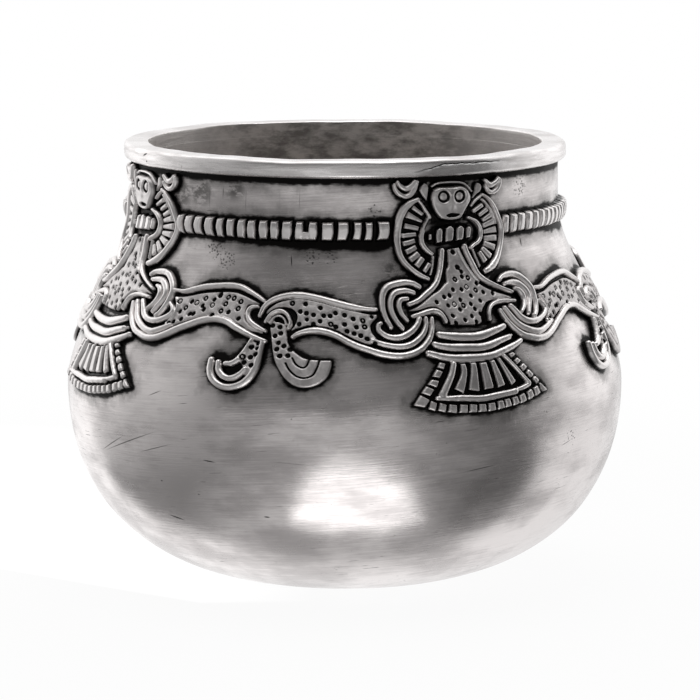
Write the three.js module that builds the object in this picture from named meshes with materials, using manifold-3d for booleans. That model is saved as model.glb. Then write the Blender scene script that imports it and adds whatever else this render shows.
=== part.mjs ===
// Ritual bowl in dark silver: a round-bellied cup with a short neck, a heavy flat rim band, a rope
// moulding round the neck, and cast ornament soldered to the wall. Four masked figures stand under the
// rim, and between each two a pair of dotted ribbons leaves the figures in knots and meets at a crossing.
// Millimetres, +Z up, origin at the middle of the base. Angles are degrees round +Z from -Y towards +X.
import * as THREE from "three";
import { mergeVertices } from "three/addons/utils/BufferGeometryUtils.js";
import Module from "manifold-3d";

const wasm = await Module();
wasm.setup();

// Bowl wall
const BASE_RADIUS = 15;
const BELLY_RADIUS = 55;
const BELLY_HEIGHT = 39.2;
const NECK_RADIUS = 42.1;
const NECK_HEIGHT = 74;
const LIP_HEIGHT = 83.6;
const WALL = 2.6;
const SWELL_BELOW = 20.5;
const SWELL_ABOVE = 11;
const NECK_SWEEP = 8.5;
const BASE_SPREAD = 27.4;
const BASE_RISE = 2.1;
const WALL_SIDES = 48;

// Rim band, which sits on the wall's lip and stands out past it on both sides
const RIM_TALL = 3.4;
const RIM_OUTSIDE = 1.5;
const RIM_INSIDE = 0.65;
const RIM_EDGE = 0.7;

// Fits and relief heights, measured out from the wall
const SOLDER = 0.3;
const WEB_TOP = 0.8;
const STRAND_TOP = 1.25;
const FACE_TOP = 1.5;
const BROW_TOP = 2.0;
const EYE_TOP = 2.3;

// Widths of the cast strands
const STRAND = 0.85;
const FINE_STRAND = 0.55;
const RUNG = 0.6;
const BAND = 1.0;
const BORDER = 1.4;
const CRESCENT_WEB = 0.9;
const EYE_RADIUS = 0.72;
const EYE_SIDES = 8;

// The ornament is drawn flat as [run, drop]: run along the wall from a figure's axis, drop below the lip.
const DRAWN_QUARTER = 75.8;
const DRAWN_BELT = 25.6;
const KNOT_REACH = 18;
const LONGEST_EDGE = 7.5;
const FIGURE_TURNS = [28.35, 118, 207, 296];
const CROSSING_TURNS = [72.4, 162.5, 251.5, 342.7];

// Rope moulding
const ROPE_DROP = 10;
const ROPE_TALL = 4.2;
const ROPE_RISE = 1.7;
const ROPE_PINCH = 0.78;
const ROPE_PITCH = 2.15;
const ROPE_FROM = 12.9;
const ROPE_TO = -12.4;

const silver = { color: 0xb7b4ae, metalness: 1, roughness: 0.42 };
const tarnished = { color: 0x8f8c86, metalness: 1, roughness: 0.5 };

// Outer side of the wall from the base's edge to the lip, as two curves that meet upright at the belly.
function wallCurve(steps) {
  const lower = new THREE.CubicBezierCurve(
    new THREE.Vector2(BASE_RADIUS, 0),
    new THREE.Vector2(BASE_RADIUS + BASE_SPREAD, BASE_RISE),
    new THREE.Vector2(BELLY_RADIUS, BELLY_HEIGHT - SWELL_BELOW),
    new THREE.Vector2(BELLY_RADIUS, BELLY_HEIGHT),
  );
  const upper = new THREE.CubicBezierCurve(
    new THREE.Vector2(BELLY_RADIUS, BELLY_HEIGHT),
    new THREE.Vector2(BELLY_RADIUS, BELLY_HEIGHT + SWELL_ABOVE),
    new THREE.Vector2(NECK_RADIUS, NECK_HEIGHT - NECK_SWEEP),
    new THREE.Vector2(NECK_RADIUS, NECK_HEIGHT),
  );
  return [...lower.getPoints(steps), ...upper.getPoints(steps).slice(1)];
}

const fineWall = [...wallCurve(200), new THREE.Vector2(NECK_RADIUS, LIP_HEIGHT + RIM_TALL)];

// Radius of the outer wall at a height.
function wallRadius(height) {
  const after = Math.max(1, fineWall.findIndex((point) => point.y >= height));
  const [a, b] = [fineWall[after - 1], fineWall[after]];
  return a.x + ((b.x - a.x) * (height - a.y)) / (b.y - a.y);
}

// A place on the wall at a turn and a height, lifted off it along its normal.
function onWall(turn, height, lift) {
  const slope = wallRadius(height + 0.05) - wallRadius(height - 0.05);
  const tilt = Math.atan2(slope, 0.1);
  const radius = wallRadius(height) + lift * Math.cos(tilt);
  return [radius * Math.sin(turn), -radius * Math.cos(turn), height - lift * Math.sin(tilt)];
}

const radians = THREE.MathUtils.degToRad;
const beltRadius = wallRadius(LIP_HEIGHT - DRAWN_BELT);
const RUN_SCALE = DRAWN_QUARTER / ((beltRadius * Math.PI) / 2);

// Wraps a flat point of a figure round the wall.
function onFigure(figureTurn) {
  return ([run, drop, lift]) => {
    const height = LIP_HEIGHT - drop;
    return onWall(radians(figureTurn) + run / (wallRadius(height) * RUN_SCALE), height, lift);
  };
}

// Wraps a flat point of half a garland: past the knot it is stretched to end at the crossing.
function onGarland(figureTurn, crossingTurn, side) {
  return ([run, drop, lift]) => {
    const height = LIP_HEIGHT - drop;
    const perRun = 1 / (wallRadius(height) * RUN_SCALE);
    const reach = radians(figureTurn) + side * KNOT_REACH * perRun;
    const part = (side * run - KNOT_REACH) / (DRAWN_QUARTER / 2 - KNOT_REACH);
    const far = reach + (radians(crossingTurn) - reach) * part;
    const turn = side * run < KNOT_REACH ? radians(figureTurn) + run * perRun : far;
    return onWall(turn, height, lift);
  };
}

// A closed three.js geometry as a solid.
function solidOf(geometry) {
  geometry.deleteAttribute("normal");
  geometry.deleteAttribute("uv");
  const merged = mergeVertices(geometry, 1e-4);
  const triVerts = new Uint32Array(merged.index.array);
  const vertProperties = merged.attributes.position.array;
  return new wasm.Manifold(new wasm.Mesh({ numProp: 3, vertProperties, triVerts }));
}

// A flat plate with the outline given as [run, drop] points.
function plate(outline, low, high) {
  const shape = new THREE.Shape(outline.map(([run, drop]) => new THREE.Vector2(run, -drop)));
  const options = { depth: high - low, bevelEnabled: false, curveSegments: 1 };
  return solidOf(new THREE.ExtrudeGeometry(shape, options).translate(0, 0, low));
}

// A flat strand: a smooth line through the points, as wide at its ends as the two widths say.
function strand(points, [startWidth, endWidth], steps, low = SOLDER, high = STRAND_TOP) {
  const curve = new THREE.SplineCurve(points.map(([run, drop]) => new THREE.Vector2(run, drop)));
  const sides = [[], []];
  for (let i = 0; i <= steps; i++) {
    const at = curve.getPoint(i / steps);
    const along = curve.getTangent(i / steps);
    const half = THREE.MathUtils.lerp(startWidth, endWidth, i / steps) / 2;
    sides[0].push([at.x - along.y * half, at.y + along.x * half]);
    sides[1].unshift([at.x + along.y * half, at.y - along.x * half]);
  }
  return plate([...sides[0], ...sides[1]], low, high);
}

// An eye: a round boss that stands proud of the face.
function eye([run, drop]) {
  const outline = [];
  for (let i = 0; i < EYE_SIDES; i++) {
    const turn = (i / EYE_SIDES) * 2 * Math.PI;
    outline.push([run + EYE_RADIUS * Math.cos(turn), drop + EYE_RADIUS * Math.sin(turn)]);
  }
  return plate(outline, SOLDER, EYE_TOP);
}

function joined(solids) {
  return solids.reduce((whole, solid) => whole.add(solid));
}

// Halves every edge of the flat solid that is too long to follow the wall, then wraps it.
function wrapped(solid, place) {
  const { vertProperties, triVerts } = solid.getMesh();
  const corner = (i) => Array.from(vertProperties.subarray(i * 3, i * 3 + 3));
  const waiting = [];
  for (let i = 0; i < triVerts.length; i += 3) {
    waiting.push([corner(triVerts[i]), corner(triVerts[i + 1]), corner(triVerts[i + 2])]);
  }
  const done = [];
  while (waiting.length) {
    const triangle = waiting.pop();
    const lengths = triangle.map((a, i) => {
      const b = triangle[(i + 1) % 3];
      return Math.hypot(a[0] - b[0], a[1] - b[1]);
    });
    const longest = lengths.indexOf(Math.max(...lengths));
    if (lengths[longest] <= LONGEST_EDGE) {
      done.push(...triangle);
      continue;
    }
    const [a, b, c] = [0, 1, 2].map((i) => triangle[(longest + i) % 3]);
    const middle = a.map((value, i) => (value + b[i]) / 2);
    waiting.push([a, middle, c], [middle, b, c]);
  }
  const places = done.flatMap(([x, y, z]) => place([x, -y, z]));
  const geometry = new THREE.BufferGeometry();
  geometry.setAttribute("position", new THREE.Float32BufferAttribute(places, 3));
  return mergeVertices(geometry, 1e-4);
}

const bowl = new THREE.Group();

function add(name, geometry, finish) {
  const mesh = new THREE.Mesh(geometry, new THREE.MeshStandardMaterial(finish));
  mesh.name = name;
  bowl.add(mesh);
}

function turned(profile) {
  const points = profile.map(([radius, height]) => new THREE.Vector2(radius, height));
  return new THREE.LatheGeometry(points, WALL_SIDES).rotateX(Math.PI / 2);
}

// Raised body: one wall of even thickness from the flat base to the lip, open at the mouth.
function bowlBody() {
  const outside = wallCurve(6).map((point) => [point.x, point.y]);
  const inner = wallCurve(4);
  const inside = inner.map((point, i) => {
    const before = inner[Math.max(0, i - 1)];
    const after = inner[Math.min(inner.length - 1, i + 1)];
    const along = after.clone().sub(before).normalize();
    return [point.x - along.y * WALL, Math.max(WALL, point.y + along.x * WALL)];
  });
  const lip = LIP_HEIGHT - SOLDER;
  const top = [[NECK_RADIUS, lip], [NECK_RADIUS - WALL, lip]];
  return turned([[0, 0], ...outside, ...top, ...inside.reverse(), [0, WALL]]);
}

// Rim band: a flat ring with eased edges, wider than the wall on both sides.
function rimBand() {
  const [low, high] = [LIP_HEIGHT, LIP_HEIGHT + RIM_TALL];
  const outer = NECK_RADIUS + RIM_OUTSIDE;
  const inner = NECK_RADIUS - WALL - RIM_INSIDE;
  const profile = [
    [inner + RIM_EDGE, low],
    [outer - RIM_EDGE, low],
    [outer, low + RIM_EDGE],
    [outer, high - RIM_EDGE],
    [outer - RIM_EDGE, high],
    [inner + RIM_EDGE, high],
    [inner, high - RIM_EDGE],
    [inner, low + RIM_EDGE],
  ];
  return turned([...profile, profile[0]]);
}

// Rope moulding: a rail of pinched beads from one figure's wing to the next.
function ropeMoulding(fromTurn, toTurn) {
  const start = radians(fromTurn) + ROPE_FROM / (NECK_RADIUS * RUN_SCALE);
  const end = radians(toTurn) + ROPE_TO / (NECK_RADIUS * RUN_SCALE);
  const beads = Math.max(2, Math.round(((end - start) * NECK_RADIUS) / ROPE_PITCH));
  const middle = LIP_HEIGHT - ROPE_DROP;
  const rings = [];
  for (let i = 0; i <= 2 * beads; i++) {
    const share = i % 2 ? 1 : ROPE_PINCH;
    const rise = ROPE_RISE * share;
    const half = (ROPE_TALL / 2) * share;
    const turn = start + ((end - start) * i) / (2 * beads);
    const section = [[SOLDER, -half], [rise, -half / 2], [rise, half / 2], [SOLDER, half]];
    rings.push(section.map(([lift, up]) => onWall(turn, middle + up, lift)));
  }
  const corners = rings.flat(2);
  const faces = [];
  for (let i = 0; i + 1 < rings.length; i++) {
    for (let j = 0; j < 4; j++) {
      const [a, b] = [i * 4 + j, i * 4 + ((j + 1) % 4)];
      faces.push(a, a + 4, b, b, a + 4, b + 4);
    }
  }
  const last = (rings.length - 1) * 4;
  faces.push(0, 1, 2, 0, 2, 3, last, last + 2, last + 1, last, last + 3, last + 2);
  const geometry = new THREE.BufferGeometry();
  geometry.setAttribute("position", new THREE.Float32BufferAttribute(corners, 3));
  geometry.setIndex(faces);
  return geometry;
}

// Mask: a heart-shaped face under a brow ridge, with two ringed eyes.
function mask() {
  const face = [
    [-4.2, 5.7], [-4.5, 4.2], [-3.9, 2.4], [-3.0, 1.95], [1.7, 1.85], [3.0, 2.5],
    [3.8, 3.7], [3.6, 4.9], [1.9, 6.9], [1.4, 7.6], [-2.3, 7.7], [-3.5, 6.9],
  ];
  const [middle, inset] = [[-0.35, 4.7], 0.8];
  const raised = face.map((point) => point.map((value, i) => middle[i] + (value - middle[i]) * inset));
  const brow = [
    [-4.1, 1.75], [-3.0, 1.2], [-1.3, 1.0], [0.4, 1.05], [2.0, 1.35], [3.0, 1.95], [3.9, 2.9],
  ];
  return joined([
    plate(face, SOLDER, FACE_TOP),
    plate(raised, SOLDER, BROW_TOP),
    strand(brow, [FINE_STRAND, FINE_STRAND], 5, SOLDER, FACE_TOP),
    plate([[-2.1, 1.0], [-2.1, 2.4], [0.4, 2.4], [0.4, 1.0]], SOLDER, WEB_TOP),
    eye([-2.0, 3.8]),
    eye([1.25, 3.8]),
  ]);
}

// Ear drops, one each side of the mask.
const DROPS = {
  left: [[-5.6, 1.2], [-6.5, 2.4], [-6.2, 3.2], [-5.2, 4.4], [-5.1, 2.5], [-5.2, 1.6]],
  right: [[5.5, 1.6], [4.9, 2.5], [4.8, 4.3], [5.7, 3.4], [6.1, 2.6], [5.9, 1.9]],
};

// Crescents beside the drops: two strands on one web, opening upwards.
const CRESCENTS = {
  left: {
    outer: [[-11.6, 1.7], [-11.2, 2.7], [-10.3, 3.4], [-9.4, 3.6], [-8.5, 3.15], [-7.6, 2.05], [-7.2, 0.9]],
    inner: [[-10.9, 0.8], [-10.5, 1.5], [-9.4, 2.15], [-8.6, 1.7], [-7.9, 0.75]],
  },
  right: {
    outer: [[7.3, 2.4], [7.7, 3.2], [8.5, 3.65], [9.4, 3.7], [10.3, 3.2], [10.9, 2.2], [10.8, 1.2]],
    inner: [[7.5, 1.2], [8.0, 1.9], [8.7, 2.4], [9.4, 2.4], [10.1, 1.9], [10.5, 1.1]],
  },
};

function crescent({ outer, inner }) {
  const middle = inner.map(([run, drop], i) => {
    const [farRun, farDrop] = outer[Math.round((i * (outer.length - 1)) / (inner.length - 1))];
    return [(run + farRun) / 2, (drop + farDrop) / 2];
  });
  return joined([
    strand(middle, [CRESCENT_WEB, CRESCENT_WEB], 3, SOLDER, WEB_TOP),
    strand(outer, [FINE_STRAND, FINE_STRAND], 4),
    strand(inner, [FINE_STRAND, FINE_STRAND], 3),
  ]);
}

// Wings: a broad outer strand and a thin inner one with rungs between them.
const WINGS = {
  left: {
    outer: [
      [-7.2, 4.0], [-9.4, 5.4], [-10.5, 7.1], [-11.0, 9.1], [-11.3, 12.7], [-11.2, 14.7],
      [-10.3, 16.6], [-9.0, 18.1], [-6.8, 19.2],
    ],
    inner: [
      [-7.0, 4.2], [-5.7, 5.9], [-4.9, 7.4], [-5.6, 8.4], [-6.4, 10.7], [-6.3, 13.2], [-4.8, 14.8],
      [-5.0, 17.0], [-6.3, 18.9],
    ],
    rungs: [
      [[-7.4, 5.8], [-6.2, 6.7]], [[-8.7, 7.2], [-6.2, 8.2]], [[-9.1, 9.2], [-7.0, 9.7]],
      [[-9.9, 11.2], [-7.7, 10.8]], [[-9.7, 12.7], [-8.0, 12.3]], [[-9.5, 14.2], [-7.8, 13.5]],
      [[-8.8, 15.5], [-7.4, 14.6]], [[-7.9, 16.6], [-6.7, 15.5]], [[-6.8, 17.5], [-5.8, 16.6]],
    ],
  },
  right: {
    outer: [
      [6.7, 3.8], [8.7, 5.2], [9.7, 6.6], [10.7, 8.2], [11.5, 11.0], [11.2, 12.8], [10.6, 14.4],
      [9.6, 16.1], [8.3, 17.3], [6.2, 18.4],
    ],
    inner: [
      [6.4, 4.1], [5.2, 5.1], [4.3, 5.9], [3.9, 8.2], [5.3, 9.1], [6.3, 11.0], [5.4, 13.0],
      [4.0, 14.0], [4.6, 16.0], [5.7, 18.2],
    ],
    rungs: [
      [[4.8, 6.9], [6.5, 6.1]], [[6.2, 7.8], [7.6, 6.8]], [[7.2, 8.8], [8.7, 8.1]],
      [[7.3, 9.8], [9.3, 9.2]], [[8.0, 11.1], [9.7, 10.9]], [[7.3, 12.4], [9.6, 12.6]],
      [[7.1, 13.4], [8.8, 14.2]], [[6.3, 14.3], [7.6, 15.4]], [[5.5, 15.2], [6.3, 16.4]],
    ],
  },
};

function wing({ outer, inner, rungs }) {
  return joined([
    plate([...outer, ...[...inner].reverse()], SOLDER, WEB_TOP),
    strand(outer, [STRAND, BAND], 7),
    strand(inner, [STRAND, FINE_STRAND], 8),
    ...rungs.map((rung) => strand(rung, [RUNG, RUNG], 1)),
  ]);
}

// Throat: upright drops on a dark plate between the wings.
function throat() {
  const beads = [
    [-4.3, 11.5, 0.5, 1.4], [-2.8, 11.2, 1.05, 2.6], [-0.75, 11.1, 1.3, 2.8],
    [1.5, 10.9, 1.25, 2.8], [3.4, 10.9, 0.85, 2.4],
  ];
  const bars = beads.map(([run, drop, wide, tall]) =>
    strand([[run, drop - tall / 2], [run, drop + tall / 2]], [wide, wide], 1, SOLDER, STRAND_TOP));
  const web = plate([[-4.5, 10.9], [-2.5, 10.2], [3.6, 10.0], [3.7, 11.8], [-4.4, 12.1]], SOLDER, WEB_TOP);
  return joined([web, ...bars]);
}

// Torso: a plate that narrows to the throat and reaches out into both knots, between edge strands.
function torso() {
  const edgeLeft = [
    [-2.7, 14.2], [-3.1, 16], [-3.8, 18], [-6.1, 21], [-7.7, 22.1], [-9.4, 23.1], [-11.2, 23.7],
  ];
  const edgeRight = [
    [2.3, 13.8], [2.5, 14.9], [3.2, 16.9], [4.0, 18.7], [6.8, 21.1], [8.6, 21.9], [11, 22.7],
  ];
  const lobeLeft = [[-11.1, 25.9], [-9.8, 25.6], [-7.6, 25.2], [-6.2, 25.4], [-5.4, 26.1], [-5.0, 27.2]];
  const lobeRight = [[11, 24.4], [8.2, 24.25], [6.3, 24.5], [5.2, 25.0], [4.6, 26.0], [4.4, 27.3]];
  const web = [...[...edgeLeft].reverse(), ...edgeRight, ...lobeRight, ...[...lobeLeft].reverse()];
  return joined([
    plate(web, SOLDER, WEB_TOP),
    strand(edgeLeft, [STRAND, FINE_STRAND], 4),
    strand(edgeRight, [STRAND, FINE_STRAND], 4),
    strand(lobeLeft, [FINE_STRAND, RUNG], 4),
    strand(lobeRight, [FINE_STRAND, RUNG], 4),
  ]);
}

// Skirt: three bands over a fan of rays, framed and edged by a border.
function skirt() {
  const bands = [
    [[-7.0, 29.3], [-3.5, 30.1], [0, 30.2], [3.4, 29.8], [7.1, 28.9]],
    [[-8.5, 31.2], [-4.8, 31.9], [-0.5, 32.2], [3.9, 31.8], [8.0, 30.7]],
    [[-10.0, 32.7], [-6.6, 33.4], [-1.3, 33.9], [2.6, 33.5], [6.5, 32.7], [9.8, 31.6]],
  ];
  const foot = [[-9.2, 40.4], [-6.6, 40.9], [-1.8, 41.0], [2.6, 40.7], [6.9, 40.0], [10.4, 39.3]];
  const rays = [
    [[-3.6, 34.9], [-5.1, 39.2]], [[-1.5, 34.9], [-2.0, 39.4]], [[0.8, 34.9], [1.2, 39.3]],
    [[2.7, 34.6], [4.0, 39.1]], [[4.2, 34.3], [6.8, 38.9]],
  ];
  const border = [[-7.4, 34.6], [-12.9, 41.4], [-4.3, 42.8], [3.5, 42.4], [14.0, 40.4], [8.0, 34.1]];
  const web = [[-6.6, 29.2], [6.9, 28.9], [7.3, 32.2], [14.6, 40.6], [9.8, 42.2], [5.3, 43.1],
    [-1.4, 43.6], [-6.5, 43.4], [-13.4, 41.7], [-7.6, 33.6]];
  return joined([
    plate(web, SOLDER, WEB_TOP),
    ...bands.map((band) => strand(band, [BAND, BAND], 3)),
    ...rays.map((ray) => strand(ray, [STRAND, BORDER], 1)),
    strand(foot, [STRAND, STRAND], 3),
    strand([[-5.4, 34.7], [-8.5, 39.7]], [BAND, BAND], 1),
    strand([[5.9, 34.3], [10.1, 39.0]], [RUNG, RUNG], 1),
    strand(border.slice(0, 2), [BORDER, BORDER], 1),
    strand(border.slice(1, 5), [BORDER, BORDER], 5),
    strand(border.slice(4), [BORDER, BAND], 1),
  ]);
}

// Half a garland: the knot's two loops, the dotted ribbon, and the hook that hangs at the crossing.
const GARLANDS = {
  left: {
    upper: [
      [
        [8.7, 20.8], [9.9, 20.1], [11.8, 19.8], [14.2, 20.3], [15.7, 21.6], [16.4, 23.6], [16.4, 25.5],
        [15.8, 27.6],
      ],
      [[10.1, 21.8], [11.6, 21.3], [13.5, 21.6], [14.6, 22.9], [15.0, 24.6], [14.6, 26.5], [13.8, 27.9]],
      [[11.5, 22.7], [12.8, 23.0], [13.3, 24.1], [13.2, 25.5], [12.6, 26.7]],
    ],
    lower: [
      [[10.1, 26.5], [10.8, 27.5], [12.3, 28.7], [14.5, 29.5], [16.7, 29.4], [18.0, 28.5], [18.0, 27.4]],
      [[8.9, 26.5], [9.1, 27.7], [10.3, 29.4], [12.5, 30.8], [15.2, 31.2], [17.7, 30.9], [19.6, 30.1]],
    ],
    hem: [
      [7.7, 26.6], [8.0, 28.2], [9.1, 30.2], [11.3, 31.9], [14.7, 32.8], [17.9, 32.6], [20.6, 31.6],
      [23.3, 30.4], [26.0, 29.0], [28.4, 28.3], [30.3, 28.3], [32.1, 28.8], [33.0, 29.5],
    ],
    crest: [
      [17.8, 24.4], [19.6, 24.3], [22.1, 23.9], [25.0, 23.2], [27.9, 22.4], [30.8, 21.9], [33.3, 21.8],
      [35.5, 22.1], [37.3, 23.0], [38.5, 24.2], [39.0, 25.6],
    ],
    hook: [
      [36.3, 27.0], [36.2, 29.7], [35.4, 33.8], [33.5, 37.0], [30.6, 38.2], [28.4, 37.0], [27.2, 33.5],
      [30.3, 33.4], [31.5, 33.1], [33.4, 31.0], [34.2, 28.8], [34.4, 27.0],
    ],
    arch: [[37.8, 26.7], [37.2, 25.6], [35.3, 24.8], [33.6, 25.6], [33.4, 27.4]],
    web: [
      [16.4, 24.6], [22.1, 24.0], [27.9, 22.6], [33.3, 22.0], [37.3, 23.2], [38.7, 25.3], [36.0, 27.6],
      [33.4, 28.9], [30.3, 28.2], [26.0, 28.9], [20.6, 31.4], [14.7, 32.6], [9.6, 30.4], [8.2, 27.4],
      [10.6, 27.3], [12.6, 28.8], [15.0, 28.9], [13.4, 26.8], [13.4, 23.2],
    ],
  },
  right: {
    upper: [
      [
        [8.4, 20.1], [9.5, 19.6], [11.7, 19.5], [14.1, 20.4], [15.8, 22.1], [16.6, 23.9], [16.5, 25.6],
        [15.8, 27.3],
      ],
      [[10.1, 21.1], [11.7, 20.8], [13.4, 21.4], [14.7, 22.5], [15.4, 23.9], [15.2, 25.4], [14.5, 26.7]],
      [[12.1, 22.2], [13.2, 22.7], [13.9, 23.7], [13.9, 24.7], [13.2, 25.6], [12.6, 26.4]],
    ],
    lower: [
      [[10.0, 25.6], [11.0, 26.7], [12.6, 27.8], [14.5, 28.4], [16.5, 28.4], [18.1, 27.5], [18.3, 26.2]],
      [[8.4, 25.6], [9.3, 27.1], [11.0, 28.6], [13.2, 29.6], [15.6, 30.0], [17.5, 29.7], [19.0, 28.9]],
    ],
    hem: [
      [7.1, 25.7], [8.0, 27.6], [9.5, 29.5], [11.5, 30.8], [14.1, 31.4], [16.7, 31.1], [19.3, 30.2],
      [22.3, 28.9], [25.3, 27.5], [28.0, 26.9], [30.4, 27.1], [32.8, 28.2], [35.3, 29.4], [37.4, 30.1],
    ],
    crest: [
      [17.4, 22.6], [19.7, 22.5], [22.1, 21.9], [24.5, 21.3], [27.0, 20.9], [29.4, 20.8], [31.9, 21.0],
      [34.0, 21.8], [35.8, 22.6], [36.6, 23.1],
    ],
    hook: [
      [36.0, 30.0], [35.6, 31.6], [34.1, 33.9], [32.3, 34.4], [29.8, 34.1], [29.5, 36.0], [30.6, 38.0],
      [33.1, 39.3], [35.6, 38.4], [37.1, 36.0], [37.7, 33.3], [37.8, 30.3],
    ],
    arch: [[35.9, 24.3], [34.5, 24.8], [34.4, 25.8], [35.0, 26.9], [37.2, 28.3]],
    web: [
      [16.6, 23.2], [22.1, 22.1], [27.0, 21.1], [31.9, 21.2], [36.0, 22.9], [35.4, 25.6], [37.3, 28.4],
      [37.3, 30.0], [32.8, 28.0], [28.0, 26.7], [22.3, 28.7], [16.7, 30.9], [11.5, 30.6], [7.9, 27.0],
      [10.2, 26.4], [12.6, 27.6], [15.0, 27.9], [13.6, 26.1], [13.8, 22.6],
    ],
  },
};

function garland({ upper, lower, hem, crest, hook, arch, web }, side) {
  const drawn = (points) => points.map(([run, drop]) => [side * run, drop]);
  return joined([
    plate(drawn(web), SOLDER, WEB_TOP),
    ...upper.map((line) => strand(drawn(line), [STRAND, STRAND], 4)),
    ...lower.map((line) => strand(drawn(line), [STRAND, STRAND], 4)),
    strand(drawn(arch), [FINE_STRAND, FINE_STRAND], 3),
    strand(drawn(hem), [STRAND, RUNG], 9),
    strand(drawn(crest), [STRAND, STRAND], 5),
    plate(drawn(hook), SOLDER, STRAND_TOP),
  ]);
}

add("bowl_body", bowlBody(), silver);
add("rim_band", rimBand(), silver);

const flat = {
  mask: mask(),
  drop_left: plate(DROPS.left, SOLDER, STRAND_TOP),
  drop_right: plate(DROPS.right, SOLDER, STRAND_TOP),
  crescent_left: crescent(CRESCENTS.left),
  crescent_right: crescent(CRESCENTS.right),
  wing_left: wing(WINGS.left),
  wing_right: wing(WINGS.right),
  throat: throat(),
  torso: torso(),
  skirt: skirt(),
};
const garlandLeft = garland(GARLANDS.left, -1);
const garlandRight = garland(GARLANDS.right, 1);

FIGURE_TURNS.forEach((turn, i) => {
  const number = i + 1;
  const nextTurn = FIGURE_TURNS[(i + 1) % 4] + (i === 3 ? 360 : 0);
  const crossingBefore = CROSSING_TURNS[(i + 3) % 4] - (i === 0 ? 360 : 0);
  for (const [name, solid] of Object.entries(flat)) {
    add(name + "_" + number, wrapped(solid, onFigure(turn)), silver);
  }
  add("garland_left_" + number, wrapped(garlandLeft, onGarland(turn, crossingBefore, -1)), tarnished);
  add("garland_right_" + number, wrapped(garlandRight, onGarland(turn, CROSSING_TURNS[i], 1)), tarnished);
  add("rope_moulding_" + number, ropeMoulding(turn, nextTurn), silver);
});

export default bowl;
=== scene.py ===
"""A ritual bowl in darkened silver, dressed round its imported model.

Sizes are millimetres and become metres when a mesh is filled. A place on the wall is a turn, in radians
round +Z from -Y towards +X, and a height. The ornament is drawn flat as [run, drop]: run goes along the
wall from a figure's middle, drop goes down from the lip.
"""

import math

import bpy
import numpy as np
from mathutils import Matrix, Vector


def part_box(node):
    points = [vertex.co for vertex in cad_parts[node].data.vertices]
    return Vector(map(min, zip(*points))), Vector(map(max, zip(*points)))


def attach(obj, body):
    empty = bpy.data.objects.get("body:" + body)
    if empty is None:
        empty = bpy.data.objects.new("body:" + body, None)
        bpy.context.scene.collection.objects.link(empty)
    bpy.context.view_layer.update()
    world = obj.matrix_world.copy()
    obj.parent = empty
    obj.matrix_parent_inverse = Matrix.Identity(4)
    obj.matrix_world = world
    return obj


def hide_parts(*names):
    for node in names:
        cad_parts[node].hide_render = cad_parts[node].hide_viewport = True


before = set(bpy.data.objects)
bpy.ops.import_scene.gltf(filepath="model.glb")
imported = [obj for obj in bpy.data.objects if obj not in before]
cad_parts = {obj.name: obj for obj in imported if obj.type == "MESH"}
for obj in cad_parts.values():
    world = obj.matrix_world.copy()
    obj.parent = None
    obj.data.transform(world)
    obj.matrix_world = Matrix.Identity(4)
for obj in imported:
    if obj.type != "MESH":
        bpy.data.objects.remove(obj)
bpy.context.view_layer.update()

# Camera: a long lens nearly a metre off, a little above the rim and tipped down, in line with the bowl's
# middle, so that the rim's two ellipses and the outline fall as they do in the photograph.
CAMERA_PLACE = (0.001, -0.950, 0.1793)
CAMERA_DIP = 8.05
CAMERA_LENS = 248.2
camera_data = bpy.data.cameras.new("photo_camera")
camera_data.lens = CAMERA_LENS
camera_data.clip_start, camera_data.clip_end = 0.01, 20
camera = bpy.data.objects.new("photo_camera", camera_data)
camera.location = CAMERA_PLACE
camera.rotation_euler = (math.radians(90 - CAMERA_DIP), 0, 0)
bpy.context.scene.collection.objects.link(camera)
bpy.context.scene.camera = camera

# Bowl wall: one sheet of silver raised by hammer from a flat disc, round-bellied with an upright neck.
# Its outside is planished and brushed, its inside is left darker, and the blows still show as soft waves.
MM = 0.001
rim_low, rim_high = (np.array(corner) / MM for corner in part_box("rim_band"))
BELLY_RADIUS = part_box("bowl_body")[1][0] / MM
RIM_OUTSIDE, RIM_INSIDE = 1.5, 0.65
NECK_RADIUS = rim_high[0] - RIM_OUTSIDE
LIP = rim_low[2]
WALL = 2.6
BASE_RADIUS, BASE_SPREAD, BASE_RISE = 15, 27.4, 2.1
BELLY_HEIGHT, SWELL_BELOW, SWELL_ABOVE = 39.2, 20.5, 11
NECK_HEIGHT, NECK_SWEEP = 74, 8.5
COLUMNS = 540
ROWS_BELOW, ROWS_ABOVE, ROWS_INSIDE = 46, 84, 24
NECK_ROWS, THROAT_ROWS = 18, 9
LAP, TURN_BACK = 0.56, 0.12
NARROW_FROM, NARROW_TALL, BORE_COVER = 13, 12, 0.02
HAMMER_WAVES = [(0.05, 5, 9, 0), (0.04, 11, -6, 1.3), (0.03, 17, 4.1, 0.6), (0.02, 29, -3, 2.2)]
HAMMER_FADE = 12
SLOPE_STEP = 0.05


def cubic(corners, count):
    """Points on the cubic curve that starts at the first corner, ends at the last and is drawn towards
    the two between: their mean, weighed by the four terms of (1 - t + t) cubed."""
    t = np.linspace(0, 1, count)[:, None]
    a, b, c, d = np.array(corners, float)
    return (1 - t) ** 3 * a + 3 * (1 - t) ** 2 * t * b + 3 * (1 - t) * t ** 2 * c + t ** 3 * d


def wall_outline(below, above):
    """Radius and height up the outside, from the base's edge over the belly to the neck."""
    belly = (BELLY_RADIUS, BELLY_HEIGHT)
    lower = cubic([(BASE_RADIUS, 0), (BASE_RADIUS + BASE_SPREAD, BASE_RISE),
                   (BELLY_RADIUS, BELLY_HEIGHT - SWELL_BELOW), belly], below)
    upper = cubic([belly, (BELLY_RADIUS, BELLY_HEIGHT + SWELL_ABOVE),
                   (NECK_RADIUS, NECK_HEIGHT - NECK_SWEEP), (NECK_RADIUS, NECK_HEIGHT)], above)
    return np.vstack([lower, upper[1:]])


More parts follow.
